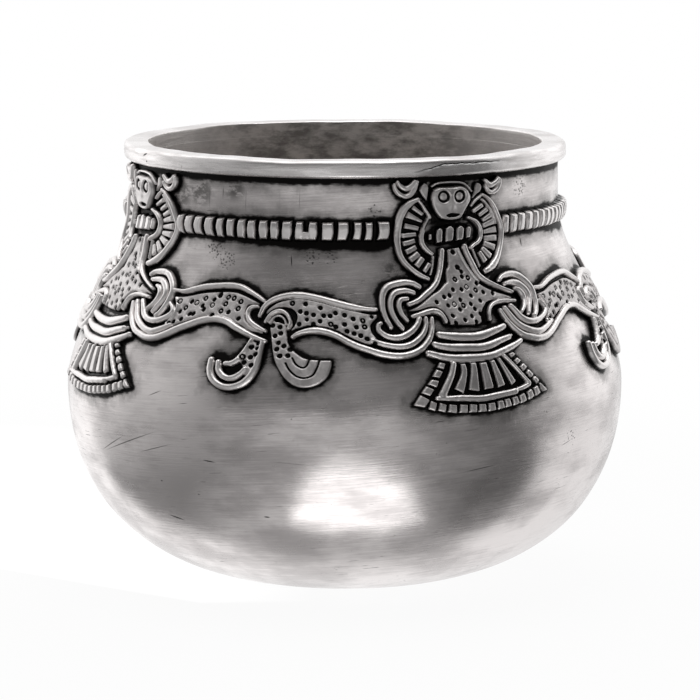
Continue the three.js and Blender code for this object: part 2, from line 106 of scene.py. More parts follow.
PROFILE = np.vstack([wall_outline(400, 400), [(NECK_RADIUS, LIP + 10)]])


def wall_radius(height):
    """The wall's outside radius at a height, read between the profile's points."""
    return np.interp(height, PROFILE[:, 1], PROFILE[:, 0])


def hammering(turn, height):
    """Soft waves left by the hammer, in millimetres: a sum of sines, each with a size, a whole number of
    waves in a turn, a slant up the wall and a phase. They die out towards the base."""
    waves = sum(size * np.sin(count * turn + height / slant + phase)
                for size, count, slant, phase in HAMMER_WAVES)
    return waves * np.clip(height / HAMMER_FADE, 0, 1)


def on_wall(turn, height, lift):
    """Places at a lift off the wall: out from the profile along its normal, plus the hammering."""
    slope = (wall_radius(height + SLOPE_STEP) - wall_radius(height - SLOPE_STEP)) / (2 * SLOPE_STEP)
    out = 1 / np.sqrt(1 + slope ** 2)
    lift = lift + hammering(turn, height)
    radius = wall_radius(height) + lift * out
    return np.stack([radius * np.sin(turn), -radius * np.cos(turn), height - lift * slope * out], axis=-1)


def surface(name, points, *face_sets, **marks):
    """A smooth mesh object at the origin from points in millimetres and arrays of faces with the same
    number of corners each. A mark is a number for each point that the material reads by name."""
    mesh = bpy.data.meshes.new(name)
    mesh.vertices.add(len(points))
    mesh.vertices.foreach_set("co", (points * MM).astype(np.float32).ravel())
    corners = np.concatenate([faces.ravel() for faces in face_sets]).astype(np.int32)
    sizes = np.concatenate([np.full(len(faces), faces.shape[1]) for faces in face_sets])
    starts = np.concatenate([[0], np.cumsum(sizes)[:-1]]).astype(np.int32)
    mesh.loops.add(len(corners))
    mesh.loops.foreach_set("vertex_index", corners)
    mesh.polygons.add(len(sizes))
    mesh.polygons.foreach_set("loop_start", starts)
    mesh.polygons.foreach_set("use_smooth", np.ones(len(sizes), bool))
    for mark, values in marks.items():
        layer = mesh.attributes.new(mark, "FLOAT", "POINT")
        layer.data.foreach_set("value", np.asarray(values, np.float32).ravel())
    mesh.update(calc_edges=True)
    mesh.validate()
    piece = bpy.data.objects.new(name, mesh)
    bpy.context.scene.collection.objects.link(piece)
    return piece


def ring_faces(rows, columns):
    """Four-cornered faces between each two rows of a closed ring of columns, facing out where the rows
    climb and the columns turn from -Y towards +X."""
    row, column = np.meshgrid(np.arange(rows - 1), np.arange(columns), indexing="ij")
    after = (column + 1) % columns
    corners = [row * columns + column, row * columns + after,
               (row + 1) * columns + after, (row + 1) * columns + column]
    return np.stack(corners, axis=-1).reshape(-1, 4)


def turned(radius, height, columns):
    """Points of a profile turned round +Z, and the turn of each."""
    turn = np.linspace(0, 2 * np.pi, columns, endpoint=False)[None, :] + np.zeros((len(radius), 1))
    radius, height = radius[:, None], height[:, None] + np.zeros_like(turn)
    return np.stack([radius * np.sin(turn), -radius * np.cos(turn), height], axis=-1), turn


def outside_outline():
    """The wall's outside, whose neck goes on up a little way inside the rim band."""
    outline = wall_outline(ROWS_BELOW, ROWS_ABOVE)
    neck = np.linspace(NECK_HEIGHT, LIP + LAP, NECK_ROWS)[1:]
    return np.vstack([outline, np.stack([np.full(len(neck), NECK_RADIUS), neck], axis=-1)])


def inside_outline():
    """The wall's inside: its outside moved in by the wall along the normal, down to a flat floor. Near the
    lip it draws in by a smooth step until it covers the rim band's bore, and its last row turns back."""
    outline = wall_outline(ROWS_INSIDE // 2, ROWS_INSIDE // 2)
    along = np.gradient(outline, axis=0)
    along /= np.linalg.norm(along, axis=1, keepdims=True)
    outline = np.stack([outline[:, 0] - along[:, 1] * WALL, outline[:, 1] + along[:, 0] * WALL], axis=-1)
    outline[:, 1] = np.maximum(outline[:, 1], WALL)
    throat_heights = np.append(np.linspace(outline[-1, 1], LIP + 0.5, THROAT_ROWS)[1:],
                               [LIP + LAP, LIP + 0.6])
    throat_radii = np.full(len(throat_heights), outline[-1, 0])
    outline = np.vstack([outline, np.stack([throat_radii, throat_heights], axis=-1)])
    share = np.clip((outline[:, 1] - LIP + NARROW_FROM) / NARROW_TALL, 0, 1)
    outline[:, 0] -= (RIM_INSIDE + BORE_COVER) * share ** 2 * (3 - 2 * share)
    outline[-1, 0] += TURN_BACK
    return outline


outer, inner = outside_outline(), inside_outline()
outer_points, outer_turn = turned(outer[:, 0], outer[:, 1], COLUMNS)
outer_height = outer_points[..., 2]
slope = np.gradient(outer, axis=0)
slope /= np.linalg.norm(slope, axis=1, keepdims=True)
waves = hammering(outer_turn, outer_height)
outer_points[..., 0] += waves * slope[:, 1:] * np.sin(outer_turn)
outer_points[..., 1] -= waves * slope[:, 1:] * np.cos(outer_turn)
outer_points[..., 2] -= waves * slope[:, :1]
inner_points, _ = turned(inner[::-1, 0], inner[::-1, 1], COLUMNS)
# The shell runs up the outside and down the inside, and a fan of faces closes each end.
shell = np.concatenate([outer_points, inner_points]).reshape(-1, 3)
rows = len(outer) + len(inner)
poles = np.array([[0, 0, 0], [0, 0, WALL]])
ring = np.arange(COLUMNS)
first_ring, last_ring = ring, (rows - 1) * COLUMNS + ring
under = np.stack([np.full(COLUMNS, rows * COLUMNS), np.roll(first_ring, -1), first_ring], axis=-1)
floor_fan = np.stack([np.full(COLUMNS, rows * COLUMNS + 1), last_ring, np.roll(last_ring, -1)], axis=-1)
wall = surface("bowl_wall", np.vstack([shell, poles]), ring_faces(rows, COLUMNS), under, floor_fan)
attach(wall, "root")
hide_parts("bowl_body")


def node(tree, kind, inputs=(), **settings):
    """Adds a shader node, sets its own settings, and gives each input a value or a link."""
    made = tree.nodes.new(kind)
    for name, value in settings.items():
        setattr(made, name, value)
    for key, value in dict(inputs).items():
        if isinstance(value, bpy.types.NodeSocket):
            tree.links.new(value, made.inputs[key])
        else:
            made.inputs[key].default_value = value
    return made


def maths(tree, operation, a, b=0.0):
    return node(tree, "ShaderNodeMath", {0: a, 1: b}, operation=operation).outputs[0]


def plus(tree, a, b):
    return maths(tree, "ADD", a, b)


def minus(tree, a, b):
    return maths(tree, "SUBTRACT", a, b)


def times(tree, a, b):
    return maths(tree, "MULTIPLY", a, b)


def most(tree, a, b):
    return maths(tree, "MAXIMUM", a, b)


def between(tree, value, low, high, low_to=0.0, high_to=1.0):
    """Eases a value from one range to another, flat past both ends."""
    inputs = {"Value": value, "From Min": low, "From Max": high, "To Min": low_to, "To Max": high_to}
    return node(tree, "ShaderNodeMapRange", inputs, interpolation_type="SMOOTHSTEP").outputs["Result"]


def vectors(tree, operation, a, b=(0, 0, 0), gives="Value"):
    return node(tree, "ShaderNodeVectorMath", {0: a, 1: b}, operation=operation).outputs[gives]


def mixed(tree, share, a, b):
    """A colour that goes from a to b as the share goes from 0 to 1."""
    return node(tree, "ShaderNodeMix", {0: share, 6: a, 7: b}, data_type="RGBA").outputs[2]


def noise(tree, place, size, detail=4.0, rough=0.55, stretch=(1, 1, 1), turn=(0, 0, 0)):
    """Noise whose features are about size millimetres, stretched along the axes after a turn."""
    scale = [size * MM * share for share in stretch]
    turned_place = node(tree, "ShaderNodeMapping", {"Vector": place, "Rotation": turn, "Scale": scale},
                        vector_type="TEXTURE")
    return node(tree, "ShaderNodeTexNoise", {"Vector": turned_place.outputs[0], "Scale": 1.0,
                                             "Detail": detail, "Roughness": rough}).outputs["Fac"]


def group(name, takes, gives):
    """An empty shader node group with named inputs and outputs, and the sockets to wire inside it."""
    tree = bpy.data.node_groups.new(name, "ShaderNodeTree")
    for label, kind in takes:
        tree.interface.new_socket(label, in_out="INPUT", socket_type=kind)
    for label, kind in gives:
        tree.interface.new_socket(label, in_out="OUTPUT", socket_type=kind)
    return tree, tree.nodes.new("NodeGroupInput").outputs, tree.nodes.new("NodeGroupOutput").inputs


VECTOR, NUMBER = "NodeSocketVector", "NodeSocketFloat"
PIT_CELL = 0.55


def hand_finish():
    """Marks of years of polishing: fine level brush lines, upright scratches, a few long slanting ones and
    small pits. Height is for bump, Brush is the lines alone, and Mark goes from 0 in a scratch to 1."""
    tree, takes, gives = group("hand_finish", [("Place", VECTOR), ("Pitted", NUMBER)],
                               [("Height", NUMBER), ("Brush", NUMBER), ("Mark", NUMBER)])
    place = takes["Place"]
    level = noise(tree, place, 1, 4, 0.7, (9, 9, 0.3), (0, -0.07, 0))
    upright = noise(tree, place, 1, 3, 0.6, (0.2, 0.2, 6))
    slanting = noise(tree, place, 1, 2, 0.5, (6, 6, 0.24), (0, -0.12, 0))
    patches = noise(tree, place, 11, 3, 0.6)
    drawn = times(tree, between(tree, slanting, 0.27, 0.32, 1.0, 0.0), between(tree, patches, 0.5, 0.6))
    cut = times(tree, between(tree, upright, 0.27, 0.36, 1.0, 0.0),
                between(tree, patches, 0.42, 0.5, 1.0, 0.0))
    cells = node(tree, "ShaderNodeMapping", {"Vector": place, "Scale": [PIT_CELL * MM] * 3},
                 vector_type="TEXTURE")
    dots = node(tree, "ShaderNodeTexVoronoi", {"Vector": cells.outputs[0], "Scale": 1.0, "Randomness": 1.0})
    size = plus(tree, between(tree, noise(tree, place, 6, 4, 0.7), 0.56, 0.72, 0.0, 0.3),
                times(tree, takes["Pitted"], 0.42))
    hole = between(tree, minus(tree, size, dots.outputs["Distance"]), -0.02, 0.08)
    worst = most(tree, most(tree, drawn, times(tree, cut, 0.4)), hole)
    mark = minus(tree, 1.0, worst)
    tree.links.new(plus(tree, level, times(tree, mark, 1.6)), gives["Height"])
    tree.links.new(level, gives["Brush"])
    tree.links.new(mark, gives["Mark"])
    return tree


def black_halo():
    """Sulphide left round the ornament where no polishing reaches, and under the rim band partly painted
    shade.
    Mask is 1 close to an edge, where the distance made ragged by noise is under about a millimetre, and
    Smoke fades out over about three."""
    tree, takes, gives = group("black_halo", [("Place", VECTOR), ("Distance", NUMBER)],
                               [("Mask", NUMBER), ("Smoke", NUMBER)])
    distance = takes["Distance"]
    coarse = noise(tree, takes["Place"], 4.5, 3, 0.6)
    fine = noise(tree, takes["Place"], 0.8, 5, 0.75, (2.6, 2.6, 0.7))
    ragged = plus(tree, times(tree, coarse, 1.6), times(tree, fine, 1.2))
    edge = plus(tree, distance, minus(tree, ragged, 1.4))
    solid = between(tree, distance, 0.2, 0.5, 1.0, 0.0)
    tree.links.new(most(tree, between(tree, edge, 0.35, 1.05, 1.0, 0.0), solid), gives["Mask"])
    far = plus(tree, distance, times(tree, minus(tree, coarse, 0.5), 6.0))
    tree.links.new(between(tree, far, 0.4, 3.0, 1.0, 0.0), gives["Smoke"])
    return tree


def scratch_line():
    """One long scratch: where the surface is within a width of the plane through a middle point, and
    within a length of that point. The width tapers to nothing at both ends."""
    tree, takes, gives = group("scratch_line", [("Place", VECTOR), ("Middle", VECTOR), ("Across", VECTOR),
                                                ("Length", NUMBER), ("Width", NUMBER)], [("Mask", NUMBER)])
    apart = vectors(tree, "SUBTRACT", takes["Place"], takes["Middle"], "Vector")
    off = vectors(tree, "DOT_PRODUCT", apart, takes["Across"])
    share = maths(tree, "DIVIDE", vectors(tree, "LENGTH", apart), takes["Length"])
    narrow = times(tree, takes["Width"], between(tree, share, 0.1, 1.0, 1.0, 0.0))
    inside = minus(tree, narrow, maths(tree, "ABSOLUTE", off))
    tree.links.new(between(tree, inside, 0.0, 0.06 * MM), gives["Mask"])
    return tree


HAND_FINISH, BLACK_HALO, SCRATCH_LINE = hand_finish(), black_halo(), scratch_line()
BLACK, SOOT, DIRT = (0.012, 0.011, 0.0105, 1), (0.13, 0.125, 0.12, 1), (0.06, 0.056, 0.053, 1)
WALL_DULL, WALL_BRIGHT = (0.56, 0.528, 0.523, 1), (0.87, 0.825, 0.816, 1)
TARNISH_DARK, TARNISH_PALE = (0.26, 0.244, 0.233, 1), (0.7, 0.665, 0.64, 1)
# A near white painted on the inside's two sides along X as a reflection.
PAINTED_SIDE_REFLECTION = (0.97, 0.93, 0.91, 1)


def metal(name):
    """A new material: its tree, its Principled shader and the place on the object."""
    material = bpy.data.materials.new(name)
    material.use_nodes = True
    tree = material.node_tree
    shader = next(n for n in tree.nodes if n.type == "BSDF_PRINCIPLED")
    shader.inputs["Metallic"].default_value = 1.0
    return material, tree, shader, node(tree, "ShaderNodeTexCoord").outputs["Object"]


def dress(tree, shader, colour, rough, height, strength):
    """Feeds a metal's colour, roughness and bump height to its shader."""
    bump = node(tree, "ShaderNodeBump", {"Strength": strength, "Distance": 0.2 * MM, "Height": height})
    for name, value in [("Base Color", colour), ("Roughness", rough), ("Normal", bump.outputs[0])]:
        tree.links.new(value, shader.inputs[name])


def marked_by(tree, name):
    return node(tree, "ShaderNodeAttribute", attribute_name=name).outputs["Fac"]


def axes_of(tree, place):
    return node(tree, "ShaderNodeSeparateXYZ", {0: place}).outputs


def scratched(tree, place, lines, lift=0.0):
    """Shows where scratches lie at a lift off the wall. The ends of each are a turn in degrees and a height,
    and its width is in millimetres."""
    seen = 0.0
    for start, end, wide in lines:
        ends = [on_wall(np.radians(turn), np.array(height), lift) * MM for turn, height in (start, end)]
        middle, length = (ends[0] + ends[1]) / 2, np.linalg.norm(ends[1] - ends[0]) / 2
        across = np.cross(ends[1] - ends[0], [middle[0], middle[1], 0])
        across /= np.linalg.norm(across)
        sizes = {"Middle": middle, "Across": across, "Length": length, "Width": wide * MM}
        scratch = node(tree, "ShaderNodeGroup", {"Place": place, **sizes}, node_tree=SCRATCH_LINE)
        seen = most(tree, scratch.outputs["Mask"], seen)
    return seen


def spots(tree, place, middles):
    """Round spots that fade outwards, each given by its turn in degrees, its height and its reach."""
    seen = 0.0
    for turn, height, far in middles:
        middle = on_wall(np.radians(turn), np.array(height), 0) * MM
        apart = vectors(tree, "DISTANCE", place, middle)
        seen = most(tree, between(tree, apart, far * 0.3 * MM, far * MM, 1.0, 0.0), seen)
    return seen


WALL_SCRATCHES = [((-63, 28.1), (-37, 36.4), 0.11), ((-63, 28.2), (-49, 34.1), 0.1),
                  ((-49, 29.8), (-35, 33.6), 0.09), ((-18, 31.3), (-3.3, 30.4), 0.06),
                  ((-30.4, 30.6), (-26.3, 30.2), 0.14), ((-44, 41.5), (-39, 43.4), 0.1),
                  ((-41.8, 25.3), (-41.2, 25.3), 0.3), ((-32.5, 23.4), (-32, 23.4), 0.28),
                  ((-18, 19.8), (-16, 19.8), 0.17), ((-44, 18.2), (-38, 17.2), 0.16),
                  ((49, 31), (54, 32.5), 0.08), ((23, 28.3), (34, 29.6), 0.1),
                  ((-38, 75.4), (-37.6, 83), 0.07), ((-33.6, 78.4), (-33.2, 82), 0.09),
                  ((-26.9, 75), (-26.1, 83), 0.06), ((-11.9, 76), (-11.5, 83), 0.06),
                  ((-13.7, 69.6), (-13.1, 66.4), 0.13), ((52, 68.6), (52.4, 71), 0.2)]
PITTED = [(-35, 69.6, 3.6), (-30.8, 67.6, 3.0), (-8, 68.6, 2.6), (-3.5, 68.4, 2.4), (53, 80.5, 3.4),
          (8, 77.5, 2.2)]
SOOTY = [(-49, 79.5, 5.0), (-47, 73, 5.5), (-41, 80.5, 4.5), (-37, 73.2, 4.5), (-30, 81.5, 3.5),
         (24, 60, 3.5), (12, 66, 3.0)]


def wall_silver():
    """Brushed silver, clouded by tarnish, smoky and black round the ornament and under the rim band, where
    it is partly painted shade, with a few long scratches, pitted spots and sooty ones."""
    material, tree, shader, place = metal("wall_silver")
    finish = node(tree, "ShaderNodeGroup", {"Place": place, "Pitted": spots(tree, place, PITTED)},
                  node_tree=HAND_FINISH)
    halo = node(tree, "ShaderNodeGroup", {"Place": place, "Distance": marked_by(tree, "reach")},
                node_tree=BLACK_HALO)
    flakes = between(tree, noise(tree, place, 1.7, 6, 0.75, (1.6, 1.6, 0.8)), 0.42, 0.56, 0.0, 0.85)
    sooty = times(tree, spots(tree, place, SOOTY), flakes)
    broad = noise(tree, place, 26, 3, 0.5)
    mottle = noise(tree, place, 7, 4, 0.55, (1.8, 1.8, 0.8))
    brushed = times(tree, minus(tree, finish.outputs["Brush"], 0.5), 0.24)
    cloud = plus(tree, plus(tree, times(tree, broad, 0.45), times(tree, mottle, 0.55)), brushed)
    marked = most(tree, between(tree, finish.outputs["Mark"], 0, 1, 0.75, 0),
                  scratched(tree, place, WALL_SCRATCHES))
    smoke = most(tree, times(tree, halo.outputs["Smoke"], 0.56), sooty)
    colour = mixed(tree, between(tree, cloud, 0.38, 0.62), WALL_DULL, WALL_BRIGHT)
    for share, dark in [(smoke, SOOT), (marked, DIRT), (halo.outputs["Mask"], BLACK)]:
        colour = mixed(tree, share, colour, dark)
    rough = plus(tree, between(tree, mottle, 0.3, 0.7, 0.28, 0.19), times(tree, halo.outputs["Mask"], 0.3))
    dress(tree, shader, colour, rough, finish.outputs["Height"], 0.22)
    return material


def inside_silver():
    """The inside of the wall: brownish tarnish, painted paler on its two sides along X as a reflection of
    the bright sides of the tent.
    """
    material, tree, shader, place = metal("inside_silver")
    shader.inputs["Metallic"].default_value = 0.75
    clouds = noise(tree, place, 3.2, 6, 0.68, (2.0, 2.0, 0.9))
    across = maths(tree, "ABSOLUTE", axes_of(tree, place)["X"])
    colour = mixed(tree, between(tree, clouds, 0.36, 0.64), TARNISH_DARK, TARNISH_PALE)
    # Painted reflection: the inside is mixed towards a near white towards its two sides along X.
    colour = mixed(tree, between(tree, across, 0.014, 0.036, 0.0, 0.8), colour, PAINTED_SIDE_REFLECTION)
    brush = noise(tree, place, 1, 3, 0.6, (12, 12, 0.5))
    dress(tree, shader, colour, between(tree, clouds, 0.3, 0.7, 0.5, 0.36), brush, 0.25)
    return material


wall.data.materials.append(wall_silver())
INSIDE_SILVER = inside_silver()
wall.data.materials.append(INSIDE_SILVER)
# The faces past the outside's rows, and the floor's fan at the end, are the inside.
inside_faces = np.zeros(len(wall.data.polygons), np.int32)
inside_faces[(len(outer) - 1) * COLUMNS:(rows - 1) * COLUMNS] = 1
inside_faces[(rows - 1) * COLUMNS + COLUMNS:] = 1
wall.data.polygons.foreach_set("material_index", inside_faces)

# Rim band: a heavy flat ring, cast or forged, soldered on the lip and standing out past it on both sides.
# Handling keeps it brighter than the wall, its edges are worn round, and a forging crack runs along it.
RIM_TALL = rim_high[2] - rim_low[2]
BORE_RADIUS = NECK_RADIUS - WALL - RIM_INSIDE
RIM_WORN, RIM_CROWN, RIM_COLUMNS = (0.95, 0.75, 0.35, 0.06), 0.14, 720
RIM_BEAT, RIM_SWELL = [(0.07, 7, 0.4), (0.05, 13, 2), (0.02, 31, 0)], [(0.04, 9, 1), (0.03, 23, 0)]
CRACK_FROM, CRACK_TO, CRACK_STEP = math.radians(17), math.radians(45), 0.16
CRACK_JAGS = [(0.018, 61, 0), (0.014, 143, 1), (0.008, 307, 0)]
RIM_DULL, RIM_BRIGHT = (0.72, 0.69, 0.682, 1), (0.97, 0.938, 0.932, 1)
# Colours of the painted shade under the crack and of the painted highlight along its lip.
CRACK_SHADE, CRACK_LIP_HIGHLIGHT = (0.25, 0.245, 0.245, 1), (0.97, 0.96, 0.955, 1)


def rim_outline(steps=9, face_rows=34):
    """The band's section, from its lower outer corner up its outer face, over its top and down its bore:
    a rectangle whose corners are quarter circles and whose outer face is a little crowned."""
    inner_side, outer_side, low, high = BORE_RADIUS, NECK_RADIUS + RIM_OUTSIDE, LIP, LIP + RIM_TALL
    turn = np.linspace(0, np.pi / 2, steps)
    corners = []
    for worn, x, y, quarter in zip(RIM_WORN, (outer_side, outer_side, inner_side, inner_side),
                                   (low, high, high, low), np.array([-1, 0, 1, 2]) * np.pi / 2):
        x += worn if x == inner_side else -worn
        y += worn if y == low else -worn
        arc = turn + quarter
        corners.append(np.stack([x + worn * np.cos(arc), y + worn * np.sin(arc)], axis=-1))
    face = np.linspace(corners[0][-1], corners[1][0], face_rows)
    top = np.linspace(corners[1][-1], corners[2][0], 6)
    bore_face = np.linspace(corners[2][-1], corners[3][0], 6)
    section = np.vstack([corners[0][:-1], face, corners[1][1:], top[1:], corners[2][1:], bore_face[1:],
                         corners[3][1:]])
    share = (section[:, 1] - (low + high) / 2) / (RIM_TALL / 2)
    section[:, 0] -= RIM_CROWN * share ** 2 * np.clip((section[:, 0] - NECK_RADIUS) / RIM_OUTSIDE, 0, 1)
    return section


def ripple(turn, waves):
    """A sum of sines round the bowl, each with its size, how many waves make a turn, and its phase."""
    return sum(size * np.sin(count * turn + phase) for size, count, phase in waves)


def crack_height(turn):
    """Height of the crack along the band: it climbs steeply from its left end, then runs level, with
    small jags that sines of unlike lengths make."""
    share = np.clip((turn - CRACK_FROM) / (CRACK_TO - CRACK_FROM), 0, 1)
    rise = 0.70 - 0.46 * (1 - np.clip(share / 0.34, 0, 1)) ** 1.2
    return LIP + RIM_TALL * (rise + ripple(turn, CRACK_JAGS))


outline = rim_outline()
band, band_turn = turned(outline[:, 0], outline[:, 1], RIM_COLUMNS)
over = band[..., 2] - crack_height(band_turn)
band[..., 2] += ripple(band_turn, RIM_BEAT) * np.clip((band[..., 2] - LIP) / RIM_TALL, 0, 1)
radius = np.hypot(band[..., 0], band[..., 1])
# The crack comes and goes over a twelfth and a tenth of a radian, and the metal under it stands out.
cracked = np.clip((band_turn - CRACK_FROM) * 12, 0, 1) * np.clip((CRACK_TO - band_turn) * 10, 0, 1)
cracked = np.where(radius > NECK_RADIUS + 0.6, cracked, 0)
swell = ripple(band_turn, RIM_SWELL) * np.clip(radius - NECK_RADIUS + 1, 0, 1)
swell += CRACK_STEP * cracked * np.clip(-over / 0.14, 0, 1) * np.clip(1 + over / 1.6, 0, 1)
band[..., 0] += swell * np.sin(band_turn)
band[..., 1] -= swell * np.cos(band_turn)
rim_rows = len(outline)
# The section's last row is joined to its first.
closing = ring_faces(2, RIM_COLUMNS)
closing = np.where(closing >= RIM_COLUMNS, closing - RIM_COLUMNS, closing + (rim_rows - 1) * RIM_COLUMNS)
rim = surface("rim_band_worn", band.reshape(-1, 3), ring_faces(rim_rows, RIM_COLUMNS), closing,
              over=over, cracked=cracked)
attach(rim, "root")
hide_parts("rim_band")


RIM_NICKS = [((-64.2, LIP + 2.0), (-60.9, LIP + 2.8), 0.2), ((-62, LIP + 1.1), (-61.2, LIP + 1.15), 0.36),
             ((-33.4, LIP + 0.7), (-33, LIP + 0.7), 0.2), ((-46, LIP + 0.5), (-45.6, LIP + 1.6), 0.07)]


def rim_silver():
    """Polished silver with level brush lines, dark in the crack and the nicks and along the seam below, with
    painted shade under the crack and a painted highlight on its lip.
    """
    material, tree, shader, place = metal("rim_silver")
    finish = node(tree, "ShaderNodeGroup", {"Place": place}, node_tree=HAND_FINISH)
    mottle = noise(tree, place, 3.4, 6, 0.65, (3, 3, 0.3))
    over, cracked = marked_by(tree, "over"), marked_by(tree, "cracked")
    under = times(tree, between(tree, over, -0.4, -0.2, 1.0, 0.0), cracked)
    lip = times(tree, between(tree, over, -0.26, -0.12), between(tree, over, 0.0, 0.05, 1.0, 0.0))
    slit = between(tree, maths(tree, "ABSOLUTE", minus(tree, over, 0.12)), 0.06, 0.15, 1.0, 0.0)
    slit = most(tree, times(tree, slit, cracked), scratched(tree, place, RIM_NICKS, RIM_OUTSIDE))
    seam = between(tree, axes_of(tree, place)["Z"], (LIP - 0.02) * MM, (LIP + 0.08) * MM, 0.9, 0.0)
    colour = mixed(tree, between(tree, mottle, 0.34, 0.6), RIM_DULL, RIM_BRIGHT)
    # Painted shade on the band under the crack, and a painted highlight along the crack's lip.
    colour = mixed(tree, times(tree, under, 0.4), colour, CRACK_SHADE)
    colour = mixed(tree, times(tree, lip, cracked), colour, CRACK_LIP_HIGHLIGHT)
    colour = mixed(tree, most(tree, seam, slit), colour, BLACK)
    dress(tree, shader, colour, between(tree, mottle, 0.3, 0.7, 0.34, 0.2), finish.outputs["Height"], 0.16)
    return material


rim.data.materials.append(rim_silver())
rim.data.materials.append(INSIDE_SILVER)
bore_rows = np.flatnonzero(np.maximum(outline[1:, 0], outline[:-1, 0]) < BORE_RADIUS + 0.1)
bore_faces = np.zeros(len(rim.data.polygons), np.int32)
bore_faces[bore_rows[0] * RIM_COLUMNS:(rim_rows - 1) * RIM_COLUMNS] = 1
rim.data.polygons.foreach_set("material_index", bore_faces)

# Masks: a small cast face with ringed eyes under a brow ridge, one at the head of each of four figures.
# All the ornament is cast in relief, chased sharp and soldered to the wall, and its grooves are black.
FIGURES = np.radians([28.35, 118, 207, 296])
CROSSINGS = np.radians([72.4, 162.5, 251.5, 342.7])
DRAWN_QUARTER, DRAWN_BELT = 75.8, 25.6
RUN_SCALE = DRAWN_QUARTER / (wall_radius(LIP - DRAWN_BELT) * np.pi / 2)
GRAIN = 0.14
SUNK, BACK = -0.12, -0.4
FAR = 4.0
EDGE, ROUNDING, FULLNESS, WORN_WIDTH = 0.28, 0.2, 1.12, 0.6
WEB, STRAND_TOP, PLATE_TOP, FACE_TOP = 0.14, 1.25, 1.0, 1.5


def smooth_line(points, steps=6):
    """A line through [run, drop] points: each span is the cubic whose slope at a point is half the way
    between that point's two neighbours."""
    points = np.asarray(points, float)
    if len(points) < 3:
        return points
    whole = np.vstack([2 * points[0] - points[1], points, 2 * points[-1] - points[-2]])
    a, b, c, d = (whole[i:len(whole) - 3 + i, None] for i in range(4))
    t = np.linspace(0, 1, steps, endpoint=False)[None, :, None]
    bend = (2 * a - 5 * b + 4 * c - d) * t ** 2 / 2
    line = b + (c - a) * t / 2 + bend + (3 * b - a - 3 * c + d) * t ** 3 / 2
    return np.vstack([line.reshape(-1, 2), points[-1:]])


def to_line(run, drop, line):
    """How far each place is from a line, and the share of the line's length before its nearest point:
    each place is projected on each span, held between its ends, and keeps the nearest."""
    lengths = np.hypot(*np.diff(line, axis=0).T)
    gone = np.concatenate([[0], np.cumsum(lengths)])
    nearest, share = np.full(run.shape, np.inf), np.zeros(run.shape)
    for (ax, ay), (bx, by), length, before in zip(line[:-1], line[1:], lengths, gone):
        if length == 0:
            continue
        t = np.clip(((run - ax) * (bx - ax) + (drop - ay) * (by - ay)) / length ** 2, 0, 1)
        square = (run - ax - t * (bx - ax)) ** 2 + (drop - ay - t * (by - ay)) ** 2
        closer = square < nearest
        nearest = np.where(closer, square, nearest)
        share = np.where(closer, before + t * length, share)
    return np.sqrt(nearest), share / gone[-1]


def inset_of(run, drop, outline):
    """How far each place lies inside a closed outline, negative outside: the distance to the nearest
    side, signed by whether a ray along +run crosses the outline an odd number of times."""
    distance, _ = to_line(run, drop, np.vstack([outline, outline[:1]]))
    inside = np.zeros(run.shape, bool)
    for a, b in zip(outline, np.roll(outline, -1, axis=0)):
        if a[1] != b[1]:
            crossed = (a[1] > drop) != (b[1] > drop)
            inside ^= crossed & (run < a[0] + (drop - a[1]) * (b[0] - a[0]) / (b[1] - a[1]))
    return np.where(inside, distance, -distance)


